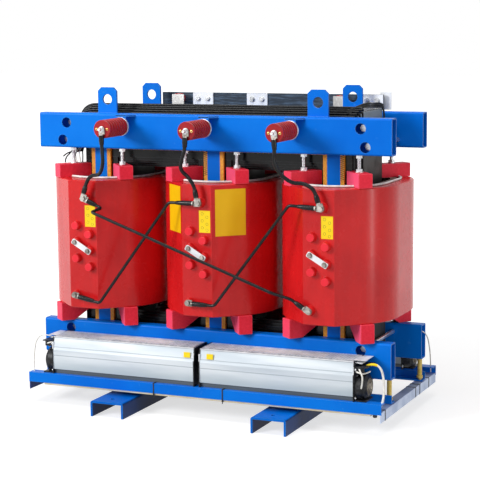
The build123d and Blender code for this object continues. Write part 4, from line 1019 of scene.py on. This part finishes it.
# Brass inserts in the front faces of the post insulators
INSERT_PROFILE = [(0.0, 0.0048), (0.0018, 0.0048), (0.0022, 0.0042), (0.0022, 0.0026), (0.0008, 0.0024)]
inserts = bmesh.new()
for post_x, side in product(POST_X.values(), SIDES):
    add_turned(inserts, (post_x + side * 0.022, POST_FACE_Y + 0.001, POST_Z), FRONT, INSERT_PROFILE, 20)
added("brass_inserts", inserts, "tinned", "brass")

# Stage: a white floor that keeps the shadow, and a white surround for the camera and for gloss
FLOOR_REACH, FLOOR_Z = 30.0, -0.0006
FLOOR_GLOW, WORLD_LIGHT = 0.68, 0.27
WHITE = (1, 1, 1, 1)
floor_mesh = bpy.data.meshes.new("floor")
floor_mesh.from_pydata([(x * FLOOR_REACH, y * FLOOR_REACH, FLOOR_Z) for x, y in ((-1, -1), (1, -1), (1, 1), (-1, 1))],
                       [], [(0, 1, 2, 3)])
floor = bpy.data.objects.new("floor", floor_mesh)
scene.collection.objects.link(floor)
paint = Paint("floor_white")
shade = paint.node("ShaderNodeBsdfDiffuse", inputs={"Color": (0.52, 0.52, 0.52, 1)})
distance = paint.node("ShaderNodeVectorMath", {"operation": "LENGTH"}, {0: paint.place()}, output="Value")
glow = paint.node("ShaderNodeEmission", inputs={
    "Color": WHITE, "Strength": (FLOOR_GLOW + 0.4 * paint.ramp(distance, 1.0, 4.0)) * paint.direct_rays()})
paint.end("ShaderNodeOutputMaterial", "Surface", paint.node("ShaderNodeAddShader", inputs={0: shade, 1: glow}))
floor_mesh.materials.append(paint.material)

scene.world = bpy.data.worlds.new("studio")
scene.world.use_nodes = True
surround = Builder(scene.world.node_tree)
surround.end("ShaderNodeOutputWorld", "Surface", surround.node("ShaderNodeBackground", inputs={
    "Color": WHITE, "Strength": WORLD_LIGHT + (1 - WORLD_LIGHT) * surround.direct_rays()}))

# Large area lamps that look at the middle of the transformer: name, place, size, power
SOFTBOXES = [("key", (-4.8, -6.8, 4.2), (3.0, 3.0), 620), ("top", (0.2, -1.2, 4.4), (3.0, 2.0), 80),
             ("strip_right", (4.2, -0.9, 1.2), (0.4, 2.4), 42)]
for name, place, size, power in SOFTBOXES:
    lamp = bpy.data.lights.new(name, "AREA")
    lamp.shape = "RECTANGLE"
    lamp.size, lamp.size_y = size
    lamp.energy = power
    holder = bpy.data.objects.new(name, lamp)
    scene.collection.objects.link(holder)
    towards = Vector((0, 0, 0.6)) - Vector(place)
    holder.matrix_world = Matrix.Translation(place) @ towards.to_track_quat("-Z", "Y").to_matrix().to_4x4()

# The photo's camera: azimuth, elevation and roll in degrees
AZIMUTH, ELEVATION, ROLL = 23.634, 8.276, -0.551
lens = bpy.data.cameras.new("camera")
lens.lens = 116.49
lens.sensor_width = 36.0
camera = bpy.data.objects.new("camera", lens)
scene.collection.objects.link(camera)
place = Matrix.Translation((2.4285, -5.4706, 1.5059))
for degrees, axis in ((AZIMUTH, "Z"), (90 - ELEVATION, "X"), (ROLL, "Z")):
    place = place @ Matrix.Rotation(math.radians(degrees), 4, axis)
camera.matrix_world = place
scene.camera = camera
scene.view_settings.view_transform = "Standard"
